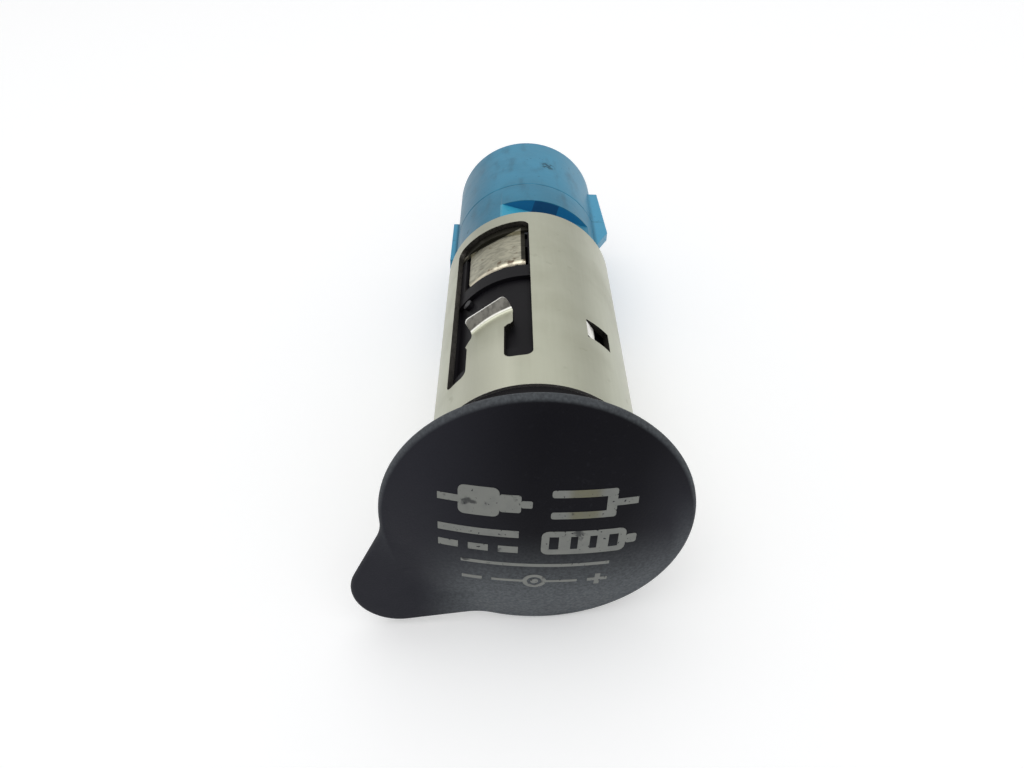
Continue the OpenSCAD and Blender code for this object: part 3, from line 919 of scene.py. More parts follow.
class Sheetwork:
    """The shared steps that turn outlines into solid pieces and pieces into dressed objects."""

    @staticmethod
    def radial(degrees: float) -> Vector:
        """The outward direction at an angle round the axis."""
        return Vector((math.sin(math.radians(degrees)), 0.0, math.cos(math.radians(degrees))))

    @staticmethod
    def tangent(degrees: float) -> Vector:
        """The clockwise direction at an angle round the axis."""
        return Vector((math.cos(math.radians(degrees)), 0.0, -math.sin(math.radians(degrees))))

    @staticmethod
    def revolve(bm: BMesh, profile: Sequence[tuple[float, float]], steps: int = 128) -> None:
        """Spins a closed profile round the axis into a solid.

        Args:
            bm: The mesh that takes the solid.
            profile: Its points as radius and y.
            steps: Number of straight parts in a full turn.
        """
        line = Contour(bm, *profile[0]).line(*profile[1:])
        if profile[0][0] > 0.0:
            line.close()
        first = [edge for edge in bm.edges if not edge.link_faces]
        bmesh.ops.spin(
            bm, geom=first, cent=(0.0, 0.0, 0.0), axis=(0.0, 1.0, 0.0), angle=math.tau,
            steps=steps, use_merge=True, use_duplicate=False,
        )
        bmesh.ops.remove_doubles(bm, verts=bm.verts, dist=1e-4)
        bmesh.ops.recalc_face_normals(bm, faces=bm.faces)

    @staticmethod
    def slab(bm: BMesh, edges: Sequence[BMEdge], height: float) -> None:
        """Fills outlines, with their holes, and raises them along +Z.

        Args:
            bm: The mesh that holds the outlines.
            edges: The outlines' edges.
            height: Thickness of the slab.
        """
        flat = bmesh.ops.triangle_fill(bm, edges=edges, use_beauty=True, use_dissolve=False)["geom"]
        flat = [item for item in flat if isinstance(item, BMFace)]
        raised = bmesh.ops.extrude_face_region(bm, geom=flat, use_keep_orig=True)["geom"]
        top = points(raised)
        bmesh.ops.translate(bm, vec=(0.0, 0.0, height), verts=top)
        verts = {vert for face in flat for vert in face.verts} | set(top)
        faces = [face for face in bm.faces if all(vert in verts for vert in face.verts)]
        bmesh.ops.recalc_face_normals(bm, faces=faces)

    @staticmethod
    def cut(bm: BMesh, faces: Sequence[BMFace], point: Vector, normal: Vector) -> None:
        """Cuts faces along a plane.

        Args:
            bm: The mesh that holds the faces.
            faces: The faces to cut.
            point: A point of the plane.
            normal: The plane's normal.
        """
        geom = [*dict.fromkeys(item for face in faces for item in (*face.verts, *face.edges)), *faces]
        bmesh.ops.bisect_plane(bm, geom=geom, dist=1e-5, plane_co=point, plane_no=normal)

    @staticmethod
    def join(bm: BMesh, part: BMesh) -> None:
        """Moves the mesh of a part into the piece's mesh.

        Args:
            bm: The piece's mesh.
            part: The part's mesh, which is freed.
        """
        mesh = bpy.data.meshes.new("part")
        part.to_mesh(mesh)
        part.free()
        bm.from_mesh(mesh)
        bpy.data.meshes.remove(mesh)

    @staticmethod
    def finish(
        bm: BMesh, name: str, place: Place, finishes: Sequence[Finish],
        rounding: float = 0.0, sharp: float = 32.0,
    ) -> bpy.types.Object:
        """Makes a dressed object of a mesh in millimetres.

        Args:
            bm: The mesh, which is freed.
            name: The piece's name.
            place: The body, slot and nodes that it belongs to.
            finishes: Its finishes, in the order of its faces' material numbers.
            rounding: Radius of its rounded edges.
            sharp: Angle in degrees above which an edge is sharp.

        Returns:
            The object.
        """
        bmesh.ops.scale(bm, vec=(MM, MM, MM), verts=bm.verts)
        mesh = bpy.data.meshes.new(name)
        bm.to_mesh(mesh)
        bm.free()
        mesh.polygons.foreach_set("use_smooth", [True] * len(mesh.polygons))
        mesh.set_sharp_from_angle(angle=math.radians(sharp))
        for finish in finishes:
            mesh.materials.append(finish.material())
        piece = bpy.data.objects.new(name, mesh)
        bpy.context.scene.collection.objects.link(piece)
        if rounding:
            bevel = piece.modifiers.new("rounded_edges", "BEVEL")
            bevel.width = rounding * MM
            bevel.segments = 3
            bevel.limit_method = "ANGLE"
            bevel.angle_limit = math.radians(sharp)
            bevel.harden_normals = True
        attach(piece, place.body.value)
        if place.nodes:
            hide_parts(*place.nodes)
        LOG.info("%s: %d faces", name, len(mesh.polygons))
        return piece


# Sub-assemblies


@dataclass(frozen=True)
class Bar:
    """A printed bar: its sides, its corner radius, and the line width of a frame or 0 when filled."""

    left: float
    bottom: float
    right: float
    top: float
    corner: float = 0.0
    stroke: float = 0.0


@dataclass(frozen=True)
class Dot:
    """A printed dot: its middle, its radius, and the line width of a ring or 0 when filled."""

    x: float
    y: float
    radius: float
    stroke: float = 0.0


@dataclass
class Lid(Sheetwork):
    """The round lid with its finger tab, its plug ring, its hinge knuckle and its worn print."""

    radius: float = LID_RADIUS
    thickness: float = 1.4
    back: float = -7.4
    dome: float = 3.0
    tab_direction: float = 219.0
    tab_reach: float = 21.0
    tab_radius: float = 5.55
    tab_flank: float = 26.5
    blend: float = 6.0
    ring_radius: float = 10.8
    ring_wall: float = 1.1
    ring_depth: float = 2.8
    ring_root: float = 0.2
    ring_bevel: float = 0.3
    hinge_angle: float = 51.0
    hinge_reach: float = 14.4
    hinge_y: float = -5.9
    knuckle_radius: float = 1.3
    knuckle_width: float = 4.0
    knuckle_root: float = 0.4
    bore: float = 0.85
    print_height: float = 0.03
    bars: tuple[Bar, ...] = (
        Bar(-10.9, 5.0, -8.5, 5.9),
        Bar(-8.7, 3.5, -4.3, 7.35, 0.7),
        Bar(-4.3, 4.25, -2.0, 6.6, 0.3),
        Bar(-2.0, 4.95, -0.8, 5.9, 0.2),
        Bar(1.2, 6.4, 8.2, 7.35, 0.3),
        Bar(1.2, 3.5, 8.2, 4.45, 0.3),
        Bar(7.1, 4.45, 8.2, 6.4),
        Bar(8.2, 5.0, 10.5, 5.9),
        Bar(-10.9, 0.55, -2.1, 1.6),
        Bar(-10.9, -1.95, -8.7, -0.9),
        Bar(-7.6, -1.95, -5.4, -0.9),
        Bar(-4.3, -1.95, -2.1, -0.9),
        Bar(0.4, -2.05, 9.7, 1.65, 0.8, 0.85),
        Bar(9.7, -0.9, 10.9, 0.5, 0.3),
        Bar(2.3, -1.2, 3.6, 0.8),
        Bar(4.4, -1.2, 5.7, 0.8),
        Bar(6.5, -1.2, 7.8, 0.8),
        Bar(-8.4, -4.35, 8.3, -3.82),
        Bar(-8.3, -7.6, -6.0, -7.0),
        Bar(-4.9, -7.52, -1.3, -7.08),
        Bar(1.3, -7.52, 4.9, -7.08),
        Bar(6.1, -7.6, 8.4, -7.0),
        Bar(6.95, -8.4, 7.55, -7.6),
        Bar(6.95, -7.0, 7.55, -6.2),
    )
    dots: tuple[Dot, ...] = (Dot(0.0, -7.3, 1.35, 0.5), Dot(0.0, -7.3, 0.45))
    print_grid: int = 11

    @property
    def frame(self) -> Matrix:
        """Turns the flat outline, with its tab along +X and its face along +Z, into its place.

        Returns:
            The turn as a matrix.
        """
        turn = math.radians(self.tab_direction)
        along = Vector((math.cos(turn), 0.0, math.sin(turn)))
        across = Vector((-math.sin(turn), 0.0, math.cos(turn)))
        out = Vector((0.0, -1.0, 0.0))
        return Matrix((along, across, out)).transposed().to_4x4()

    def rise(self, distance: float) -> float:
        """Height of the domed face above its rim at a distance from the axis."""
        share = min(distance / (self.radius - self.thickness / 2), 1.0)
        return self.dome * (1.0 - share * share)

    @staticmethod
    def heading(degrees: float) -> Vector:
        """The unit vector at an angle from +X, anticlockwise in the flat outline."""
        return Vector((math.cos(math.radians(degrees)), math.sin(math.radians(degrees))))

    def outline(self, bm: BMesh) -> None:
        """Draws the outline as arcs: the tab's lobe, the blends into the disc and the disc.

        Args:
            bm: The mesh that takes the outline, with the tab along +X.
        """
        flank = 90.0 - self.tab_flank
        offset = self.tab_reach * math.sin(math.radians(self.tab_flank)) + self.tab_radius
        swing = math.degrees(math.acos((offset + self.blend) / (self.radius + self.blend)))
        blend = flank - swing
        reach = self.radius + self.blend
        centre = self.heading(blend) * reach
        start = centre - self.blend * self.heading(flank)
        end = self.heading(flank) * self.tab_radius
        line = Contour(bm, self.tab_reach + self.tab_radius, 0.0)
        line.arc(self.tab_reach, 0.0, flank, 16).line((start.x, start.y))
        line.arc(centre.x, centre.y, -swing, 8).arc(0.0, 0.0, 360.0 - 2.0 * blend, 168)
        line.arc(centre.x, -centre.y, -swing, 8).line((self.tab_reach + end.x, -end.y))
        line.arc(self.tab_reach, 0.0, flank, 16).close()

    def plate(self, bm: BMesh) -> None:
        """Makes the plate with its half-round edge and its domed face.

        Args:
            bm: The lid's empty mesh.
        """
        self.outline(bm)
        bmesh.ops.remove_doubles(bm, verts=bm.verts, dist=1e-3)
        face = bmesh.ops.contextual_create(bm, geom=bm.edges[:])["faces"][0]
        raised = bmesh.ops.extrude_face_region(bm, geom=[face], use_keep_orig=True)["geom"]
        bmesh.ops.translate(bm, vec=(0.0, 0.0, self.thickness), verts=points(raised))
        bmesh.ops.recalc_face_normals(bm, faces=bm.faces)
        rims = [edge for edge in bm.edges if abs(edge.verts[0].co.z - edge.verts[1].co.z) < 1e-5]
        bmesh.ops.bevel(
            bm, geom=rims, offset=self.thickness * 0.49, affect="EDGES", segments=8, profile=0.5,
            material=-1, clamp_overlap=False,
        )
        caps = [face for face in bm.faces if len(face.verts) > 8]
        hubs = bmesh.ops.poke(bm, faces=caps)["verts"]
        spokes = list(dict.fromkeys(edge for hub in hubs for edge in hub.link_edges))
        bmesh.ops.subdivide_edges(bm, edges=spokes, cuts=12, use_grid_fill=False)
        for vert in bm.verts:
            if vert.co.z > self.thickness - 1e-4:
                vert.co.z += self.rise(vert.co.xy.length)
        placed = Matrix.Translation((0.0, self.back, 0.0)) @ self.frame
        bmesh.ops.transform(bm, matrix=placed, verts=bm.verts)

    def ring(self, bm: BMesh) -> None:
        """Adds the ring that plugs the well.

        Args:
            bm: The lid's mesh.
        """
        part = bmesh.new()
        outer, inner = self.ring_radius, self.ring_radius - self.ring_wall
        root, tip, bevel = self.back - self.ring_root, self.back + self.ring_depth, self.ring_bevel
        self.revolve(
            part, [(inner, root), (outer, root), (outer, tip - bevel), (outer - bevel, tip), (inner, tip)]
        )
        self.join(bm, part)

    def knuckle(self, bm: BMesh) -> None:
        """Adds the knuckle that turns on the hinge pin, with its bore.

        Args:
            bm: The lid's mesh.
        """
        part = bmesh.new()
        foot = self.back - self.hinge_y - self.knuckle_root
        line = Contour(part, foot, -self.knuckle_radius)
        line.line((0.0, -self.knuckle_radius)).arc(0.0, 0.0, 180.0, 16)
        line.line((foot, self.knuckle_radius)).close()
        bmesh.ops.create_circle(part, segments=24, radius=self.bore)
        self.slab(part, part.edges[:], self.knuckle_width)
        out, turn = self.radial(self.hinge_angle), self.tangent(self.hinge_angle)
        centre = out * self.hinge_reach + Vector((0.0, self.hinge_y, 0.0)) - turn * self.knuckle_width / 2
        matrix = Matrix((Vector((0.0, 1.0, 0.0)), out, turn)).transposed().to_4x4()
        bmesh.ops.transform(part, matrix=Matrix.Translation(centre) @ matrix, verts=part.verts)
        bmesh.ops.recalc_face_normals(part, faces=part.faces)
        self.join(bm, part)

    def build(self) -> bpy.types.Object:
        """Builds the lid with its ring and its knuckle.

        Returns:
            The lid's object.
        """
        bm = bmesh.new()
        self.plate(bm)
        self.ring(bm)
        self.knuckle(bm)
        return self.finish(bm, "lid_moulding", Place(Body.LID, Slot.LID, ("lid",)), [LID_PLASTIC])

    @staticmethod
    def hollow(bm: BMesh, face: BMFace, stroke: float) -> None:
        """Leaves only a frame of a printed face.

        Args:
            bm: The print's mesh.
            face: The face.
            stroke: Width of the frame's line, or 0 to leave the face whole.
        """
        if stroke:
            bmesh.ops.inset_region(
                bm, faces=[face], thickness=stroke, use_even_offset=True, use_boundary=True
            )
            bmesh.ops.delete(bm, geom=[face], context="FACES_ONLY")

    def bar(self, bm: BMesh, bar: Bar) -> None:
        """Adds one printed bar or frame in the plane of the lid's face.

        Args:
            bm: The print's mesh, with x to the right and y upwards.
            bar: The bar's sizes.
        """
        line = Contour(bm, bar.left, bar.bottom)
        line.line((bar.right, bar.bottom), (bar.right, bar.top), (bar.left, bar.top)).close()
        edges = [edge for edge in bm.edges if not edge.link_faces]
        face = bmesh.ops.contextual_create(bm, geom=edges)["faces"][0]
        if bar.corner:
            others = set(bm.faces) - {face}
            bmesh.ops.bevel(
                bm, geom=face.verts[:], offset=bar.corner, affect="VERTICES", segments=4, profile=0.5,
                material=-1,
            )
            face = (set(bm.faces) - others).pop()
        self.hollow(bm, face, bar.stroke)

    def dot(self, bm: BMesh, dot: Dot) -> None:
        """Adds one printed dot or ring.

        Args:
            bm: The print's mesh.
            dot: The dot's sizes.
        """
        made = bmesh.ops.create_circle(
            bm, cap_ends=True, segments=32, radius=dot.radius,
            matrix=Matrix.Translation((dot.x, dot.y, 0.0)),
        )
        self.hollow(bm, made["verts"][0].link_faces[0], dot.stroke)

    def print_marks(self) -> bpy.types.Object:
        """Prints generic marks: a plug before its socket, direct current, a battery and the poles.

        The print is cut along a grid of 1 mm, so that it can follow the domed face.

        Returns:
            The print's object.
        """
        bm = bmesh.new()
        for bar in self.bars:
            self.bar(bm, bar)
        for dot in self.dots:
            self.dot(bm, dot)
        for step in range(-self.print_grid, self.print_grid + 1):
            self.cut(bm, bm.faces[:], Vector((step, 0.0, 0.0)), Vector((1.0, 0.0, 0.0)))
            self.cut(bm, bm.faces[:], Vector((0.0, step, 0.0)), Vector((0.0, 1.0, 0.0)))
        face = self.thickness - self.back + self.print_height
        for vert in bm.verts:
            across, up = vert.co.x, vert.co.y
            vert.co = (across, -face - self.rise(math.hypot(across, up)), up)
        bmesh.ops.recalc_face_normals(bm, faces=bm.faces)
        outward = [face for face in bm.faces if face.normal.y > 0.0]
        bmesh.ops.reverse_faces(bm, faces=outward)
        bmesh.ops.solidify(bm, geom=bm.faces[:], thickness=self.print_height * 1.6)
        return self.finish(bm, "lid_print", Place(Body.LID, Slot.LID), [PRINT])


@dataclass
class Shell(Sheetwork):
    """The rolled steel shell with its window, latch tongue, catch hole and lanced tab."""

    radius: float = SHELL_RADIUS
    wall: float = 0.75
    length: float = 41.6
    window_from: float = -59.0
    window_to: float = -3.0
    slot_front: float = 5.5
    window_rear: float = 38.85
    window_corner: float = 1.3
    slot_corner: float = 1.0
    tongue_from: float = -43.0
    tongue_to: float = -19.0
    head_right: float = 5.0
    stem_rear: float = 12.4
    lip_y: float = 14.0
    lip_skew: float = 20.0
    lip_left: float = 2.5
    lip_right: float = 3.5
    lip_bend: float = 70.0
    lip_reach: float = 1.85
    lip_corner: float = 0.6
    lip_cuts: tuple[float, ...] = (0.0, 0.11, 0.22, 0.33, 0.44, 0.56, 0.75, 0.95)
    bend_radius: float = 0.45
    hole_from: float = 30.0
    hole_to: float = 47.5
    hole_front: float = 11.8
    hole_rear: float = 15.65
    catch_length: float = 1.6
    catch_bend: float = 22.0
    catch_margin: float = 0.3
    seam: float = 0.06
    step: float = 3.0
    finishes: tuple[Finish, ...] = (STEEL, CUT, RIM)

    def unrolled(self, degrees: float) -> float:
        """Place of an angle on the flat sheet."""
        return math.radians(degrees) * self.radius

    @property
    def lip_place(self) -> Vector:
        """Middle of the lip's bend line on the flat sheet."""
        middle = (self.tongue_from + self.tongue_to + self.head_right) / 2
        return Vector((self.unrolled(middle), self.lip_y, 0.0))

    def on_lip(self, place: Vector, margin: float = 0.1) -> tuple[float, float] | None:
        """Finds a point of the flat sheet on the latch's lip.

        Args:
            place: The point.
            margin: How far beside the lip still counts.

        Returns:
            Its places along and beyond the bend line, or nothing where it lies elsewhere.
        """
        turn = math.radians(self.lip_skew)
        away = place - self.lip_place
        along = away.x * math.cos(turn) + away.y * math.sin(turn)
        beyond = away.y * math.cos(turn) - away.x * math.sin(turn)
        beside = -self.lip_left - margin < along < self.lip_right + margin
        return (along, beyond) if beside and -margin < beyond < self.lip_reach + margin else None

    def lip_point(self, along: float, beyond: float) -> tuple[float, float]:
        """A point of the flat sheet.

        Args:
            along: Its place along the bend line from its middle.
            beyond: Its distance beyond the bend line.

        Returns:
            Its places along X and Y.
        """
        turn = math.radians(self.lip_skew)
        point = self.lip_place + along * Vector((math.cos(turn), math.sin(turn), 0.0))
        point += beyond * Vector((-math.sin(turn), math.cos(turn), 0.0))
        return point.x, point.y

    def window(self, bm: BMesh) -> None:
        """Draws the edge of the window round the latch tongue.

        The tongue widens a little towards its head, and small steps lead into the lip's ends.

        Args:
            bm: The mesh of the flat sheet.
        """
        left, right = self.unrolled(self.window_from), self.unrolled(self.window_to)
        stem_left, stem_right = self.unrolled(self.tongue_from), self.unrolled(self.tongue_to)
        head = self.unrolled(self.tongue_to + self.head_right)
        tip, corner, slot = self.lip_reach, self.lip_corner, self.slot_corner
        line = Contour(bm, left, self.window_rear - 6.0)
        line.corner(left, self.slot_front, slot, 1).corner(stem_left, self.slot_front, slot, 1)
        line.line((stem_left, self.lip_y - 3.3), (stem_left - 0.3, self.lip_y - 2.6))
        line.line(self.lip_point(-self.lip_left - 0.35, -0.45), self.lip_point(-self.lip_left - 0.2, -0.1))
        line.line(self.lip_point(-self.lip_left, 0.4), self.lip_point(-self.lip_left, tip - corner))
        line.arc(*self.lip_point(-self.lip_left + corner, tip - corner), -90.0)
        line.line(self.lip_point(self.lip_right - corner, tip))
        line.arc(*self.lip_point(self.lip_right - corner, tip - corner), -90.0)
        line.line(self.lip_point(self.lip_right, 0.4), self.lip_point(self.lip_right - 0.1, -0.05))
        line.line((head, self.lip_point(self.lip_right, -0.5)[1]))
        line.line((head, self.stem_rear + 0.4), (head - 0.3, self.stem_rear))
        line.line((stem_right + 0.5, self.stem_rear), (stem_right, self.stem_rear - 0.5))
        line.corner(stem_right, self.slot_front, slot, 1).corner(right, self.slot_front, slot, 1)
        line.corner(right, self.window_rear, self.window_corner, 1)
        line.corner(left, self.window_rear, self.window_corner, 1).close()

    def catch_hole(self, bm: BMesh) -> None:
        """Draws the edge of the catch hole round its lanced tab.

        Args:
            bm: The mesh of the flat sheet.
        """
        left, right = self.unrolled(self.hole_from), self.unrolled(self.hole_to)
        low, high = self.hole_front + 0.4, self.hole_rear - 0.4
        line = Contour(bm, left, self.hole_front)
        line.line((right, self.hole_front), (right, self.hole_rear), (left, self.hole_rear), (left, high))
        line.line((left + self.catch_length, high), (left + self.catch_length, low), (left, low)).close()

    def by_tab(self, y: float) -> bool:
        """Whether a place along Y lies between the ends of the lanced tab."""
        return self.hole_front + self.catch_margin < y < self.hole_rear - self.catch_margin

    def roll(self, place: Vector) -> Vector:
        """Rolls a point of the flat sheet onto the tube, with the lip and the tab bent.

        Args:
            place: The point on the flat sheet.

        Returns:
            The point on the shell's outside.
        """
        degrees = math.degrees(place.x / self.radius)
        point = self.radial(degrees) * self.radius + Vector((0.0, place.y, 0.0))
        lip = self.on_lip(place)
        if lip and lip[1] > 0.0:
            return self.bent_lip(*lip)
        tab = place.x - self.unrolled(self.hole_from)
        if 1e-4 < tab < self.catch_length + 0.1 and self.by_tab(place.y):
            bend = math.radians(self.catch_bend)
            edge = self.radial(self.hole_from) * self.radius + Vector((0.0, place.y, 0.0))
            along_tab = self.tangent(self.hole_from) * math.cos(bend)
            return edge + tab * (along_tab - self.radial(self.hole_from) * math.sin(bend))
        return point

    def bent_lip(self, along: float, beyond: float) -> Vector:
        """Place of a point of the lip, which bends outwards and flattens.

        Args:
            along: Place along the bend line from its middle.
            beyond: Distance on the flat sheet beyond the bend line.

        Returns:
            The point on the lip's front face.
        """
        foot = Vector((*self.lip_point(along, 0.0), 0.0))
        base = self.radial(math.degrees(foot.x / self.radius)) * self.radius + Vector((0.0, foot.y, 0.0))
        middle = math.degrees(self.lip_place.x / self.radius)
        turn = math.radians(self.lip_skew)
        out, side, back = self.radial(middle), self.tangent(middle), Vector((0.0, 1.0, 0.0))
        run = side * math.cos(turn) + back * math.sin(turn)
        away = back * math.cos(turn) - side * math.sin(turn)
        flat = out * self.radius + Vector((0.0, self.lip_y, 0.0)) + run * along
        share = min(beyond / 0.9, 1.0)
        base = base.lerp(flat, share * share * (3.0 - 2.0 * share))
        full = math.radians(self.lip_bend)
        bend = min(beyond / self.bend_radius, full)
        straight = max(beyond - self.bend_radius * full, 0.0)
        forward = self.bend_radius * math.sin(bend) + straight * math.cos(full)
        upward = self.bend_radius * (1.0 - math.cos(bend)) + straight * math.sin(full)
        return base + away * forward + out * upward

    def build(self) -> bpy.types.Object:
        """Cuts the flat sheet, rolls it, bends its lip and tab, and gives it its thickness.

        Returns:
            The shell's object.
        """
        bm = bmesh.new()
        edge = self.unrolled(180.0) - self.seam
        Contour(bm, -edge, 0.0).line((edge, 0.0), (edge, self.length), (-edge, self.length)).close()
        self.window(bm)
        self.catch_hole(bm)
        bmesh.ops.remove_doubles(bm, verts=bm.verts, dist=1e-4)
        bmesh.ops.triangle_fill(bm, edges=bm.edges[:], use_beauty=True)
        across = Vector((1.0, 0.0, 0.0))
        for count in range(1, int(360.0 / self.step)):
            place = self.unrolled(-180.0 + count * self.step)
            self.cut(bm, bm.faces[:], Vector((place, 0.0, 0.0)), across)
        turn = math.radians(self.lip_skew)
        away = Vector((-math.sin(turn), math.cos(turn), 0.0))
        for beyond in self.lip_cuts:
            head = [face for face in bm.faces if self.on_lip(face.calc_center_median(), 2.0)]
            self.cut(bm, head, Vector((*self.lip_point(0.0, beyond), 0.0)), away)
        for vert in bm.verts:
            vert.co = self.roll(vert.co.copy())
        bmesh.ops.recalc_face_normals(bm, faces=bm.faces)
        from_axis = Vector((1.0, 0.0, 1.0))
        if sum(face.normal.dot(face.calc_center_median() * from_axis) for face in bm.faces) < 0.0:
            bmesh.ops.reverse_faces(bm, faces=bm.faces)
        bmesh.ops.dissolve_limit(bm, angle_limit=math.radians(0.4), verts=bm.verts, edges=bm.edges)
        outside = set(bm.verts)
        bmesh.ops.solidify(bm, geom=bm.faces[:], thickness=self.wall)
        self.mark_cuts(bm, outside)
        piece = self.finish(
            bm, "shell_sheet", Place(Body.SOCKET, Slot.SHELL, ("shell",)), self.finishes,
            rounding=0.1, sharp=40.0,
        )
        # The rounded edges take the painted highlight.
        piece.modifiers["rounded_edges"].material = self.finishes.index(RIM)
        return piece

    def mark_cuts(self, bm: BMesh, outside: set[BMVert]) -> None:
        """Gives the sheared edges their painted shade, and the outward rims, the front edge and the lanced
        tab their painted highlight.

        Args:
            bm: The mesh of the sheet with its thickness.
            outside: The points of the sheet's outside.
        """
        cut, rim = self.finishes.index(CUT), self.finishes.index(RIM)
        tab_to = self.hole_from + math.degrees(self.catch_length / self.radius)
        for face in bm.faces:
            middle = face.calc_center_median()
            sides = {vert in outside for vert in face.verts}
            turn = math.degrees(math.atan2(middle.x, middle.z))
            lanced = self.hole_from + self.catch_margin < turn < tab_to and self.by_tab(middle.y)
            if len(sides) == 2:
                # Outward and front cut faces take the painted highlight, the other cut faces the painted
                # shade.
                bright = middle.xz.length > self.radius + 0.1 or middle.y < 0.1
                face.material_index = rim if bright else cut
            elif lanced:
                face.material_index = rim


@dataclass
class Housing(Sheetwork):
    """The blue connector housing with its flat recess, pocket, wing, rib, worn line and cavity."""

    radius: float = HOUSING_RADIUS
    front: float = 39.45
    rear: float = 70.4
    cavity_radius: float = 10.0
    cavity_front: float = 50.0
    web_front: float = 46.8
    room_radius: float = 7.9
    mouth_radius: float = 9.2
    mouth_depth: float = 1.1
    rear_rounding: float = 0.5
    line_y: float = 53.15
    line_depth: float = 0.07
    flat_angle: float = FLAT_ANGLE
    flat_height: float = FLAT_HEIGHT
    flat_rear: float = FLAT_REAR
    pocket_left: float = POCKET_LEFT
    pocket_right: float = POCKET_RIGHT
    pocket_height: float = 1.5
    pocket_depth: float = 1.8
    wing: tuple[tuple[float, float], ...] = (
        (10.15, 45.2), (10.65, 45.2), (12.75, 49.4), (12.15, 63.6), (10.15, 63.6)
    )
    wing_low: float = 4.0
    wing_height: float = 1.4
    rib: tuple[tuple[float, float], ...] = ((-12.7, 46.6), (-10.9, 46.6), (-10.9, 59.0), (-12.7, 59.0))
    rib_low: float = -0.6
    rib_height: float = 1.8

    def profile(self) -> list[tuple[float, float]]:
        """The spun profile, from the web's front round the outside to the web's rear.

        Returns:
            Its points as radius and y.
        """
        mouth = self.front + self.mouth_depth
        soft = self.rear_rounding
        corner = [
            (self.radius - soft + soft * math.cos(math.radians(turn)),
             self.rear - soft + soft * math.sin(math.radians(turn)))
            for turn in (0, 22.5, 45, 67.5, 90)
        ]
        line = [
            (self.radius - depth, self.line_y + along)
            for along, depth in (
                (-0.35, 0.0), (-0.2, 0.0), (-0.1, self.line_depth),
                (0.1, self.line_depth), (0.2, 0.0), (0.35, 0.0),
            )
        ]
        return [
            (0.0, self.web_front), (self.room_radius, self.web_front), (self.room_radius, mouth),
            (self.mouth_radius, mouth), (self.mouth_radius, self.front), (self.radius, self.front),
            (self.radius, self.flat_rear), *line, (self.radius, self.rear - soft - 0.3), *corner,
            (self.cavity_radius, self.rear), (self.cavity_radius, self.cavity_front),
            (0.0, self.cavity_front),
        ]

    def build(self) -> bpy.types.Object:
        """Spins the body, cuts the recess with its pocket, and adds the wing and the rib.

        Returns:
            The housing's object.
        """
        bm = bmesh.new()
        self.revolve(bm, self.profile(), 144)
        self.recess(bm)
        for outline, low, height in (
            (self.wing, self.wing_low, self.wing_height),
            (self.rib, self.rib_low, self.rib_height),
        ):
            part = bmesh.new()
            Contour(part, *outline[0]).line(*outline[1:]).close()
            self.slab(part, part.edges[:], height)
            bmesh.ops.dissolve_limit(part, angle_limit=0.01, verts=part.verts, edges=part.edges)
            bmesh.ops.translate(part, vec=(0.0, 0.0, low), verts=part.verts)
            self.join(bm, part)
        return self.finish(
            bm, "housing_moulding", Place(Body.SOCKET, Slot.HOUSING, ("connector_housing",)), [BLUE],
            rounding=0.16, sharp=35.0,
        )

    def recess(self, bm: BMesh) -> None:
        """Cuts the flat recess, closes it with its floor and its rear wall, and sinks the pocket.

        Args:
            bm: The mesh of the spun body.
        """
        out, side = self.radial(self.flat_angle), self.tangent(self.flat_angle)
        ahead = [face for face in bm.faces if face.calc_center_median().y < self.flat_rear]
        outer = [
            face for face in ahead if face.calc_center_median().xz.length > self.mouth_radius + 0.05
        ]
        self.cut(bm, outer, out * self.flat_height, out)
        above = [
            face for face in bm.faces
            if face.calc_center_median().y < self.flat_rear
            and face.calc_center_median().dot(out) > self.flat_height + 1e-3
        ]
        bmesh.ops.delete(bm, geom=above, context="FACES")
        rims = [edge for edge in bm.edges if edge.is_boundary]
        flat = [
            edge for edge in rims
            if all(abs(vert.co.dot(out) - self.flat_height) < 1e-3 for vert in edge.verts)
        ]
        corners = sorted(
            {vert for edge in flat for vert in edge.verts if abs(vert.co.y - self.flat_rear) < 1e-3},
            key=lambda vert: vert.co.dot(side),
        )
        wall = [edge for edge in rims if edge not in flat]
        step = bm.edges.new((corners[0], corners[-1]))
        bmesh.ops.contextual_create(bm, geom=[*flat, step])
        made = bmesh.ops.contextual_create(bm, geom=[*wall, step])["faces"]
        bmesh.ops.recalc_face_normals(bm, faces=bm.faces)
        self.pocket(bm, made)

    def pocket(self, bm: BMesh, wall: list[BMFace]) -> None:
        """Sinks the pocket into the recess's rear wall.

        Args:
            bm: The mesh of the body with its recess.
            wall: The faces of the rear wall.
        """
        out, side = self.radial(self.flat_angle), self.tangent(self.flat_angle)
        top = self.flat_height + self.pocket_height
        for point, normal in (
            (side * self.pocket_left, side), (side * self.pocket_right, side), (out * top, out)
        ):
            self.cut(bm, wall, point, normal)
            wall = [
                face for face in bm.faces
                if abs(face.calc_center_median().y - self.flat_rear) < 1e-4 and abs(face.normal.y) > 0.9
                and face.calc_center_median().dot(out) > self.flat_height
            ]
        hole = [
            face for face in wall
            if self.pocket_left < face.calc_center_median().dot(side) < self.pocket_right
            and face.calc_center_median().dot(out) < top
        ]
        sunk = bmesh.ops.extrude_face_region(bm, geom=hole)["geom"]
        bmesh.ops.translate(bm, vec=(0.0, self.pocket_depth, 0.0), verts=points(sunk))


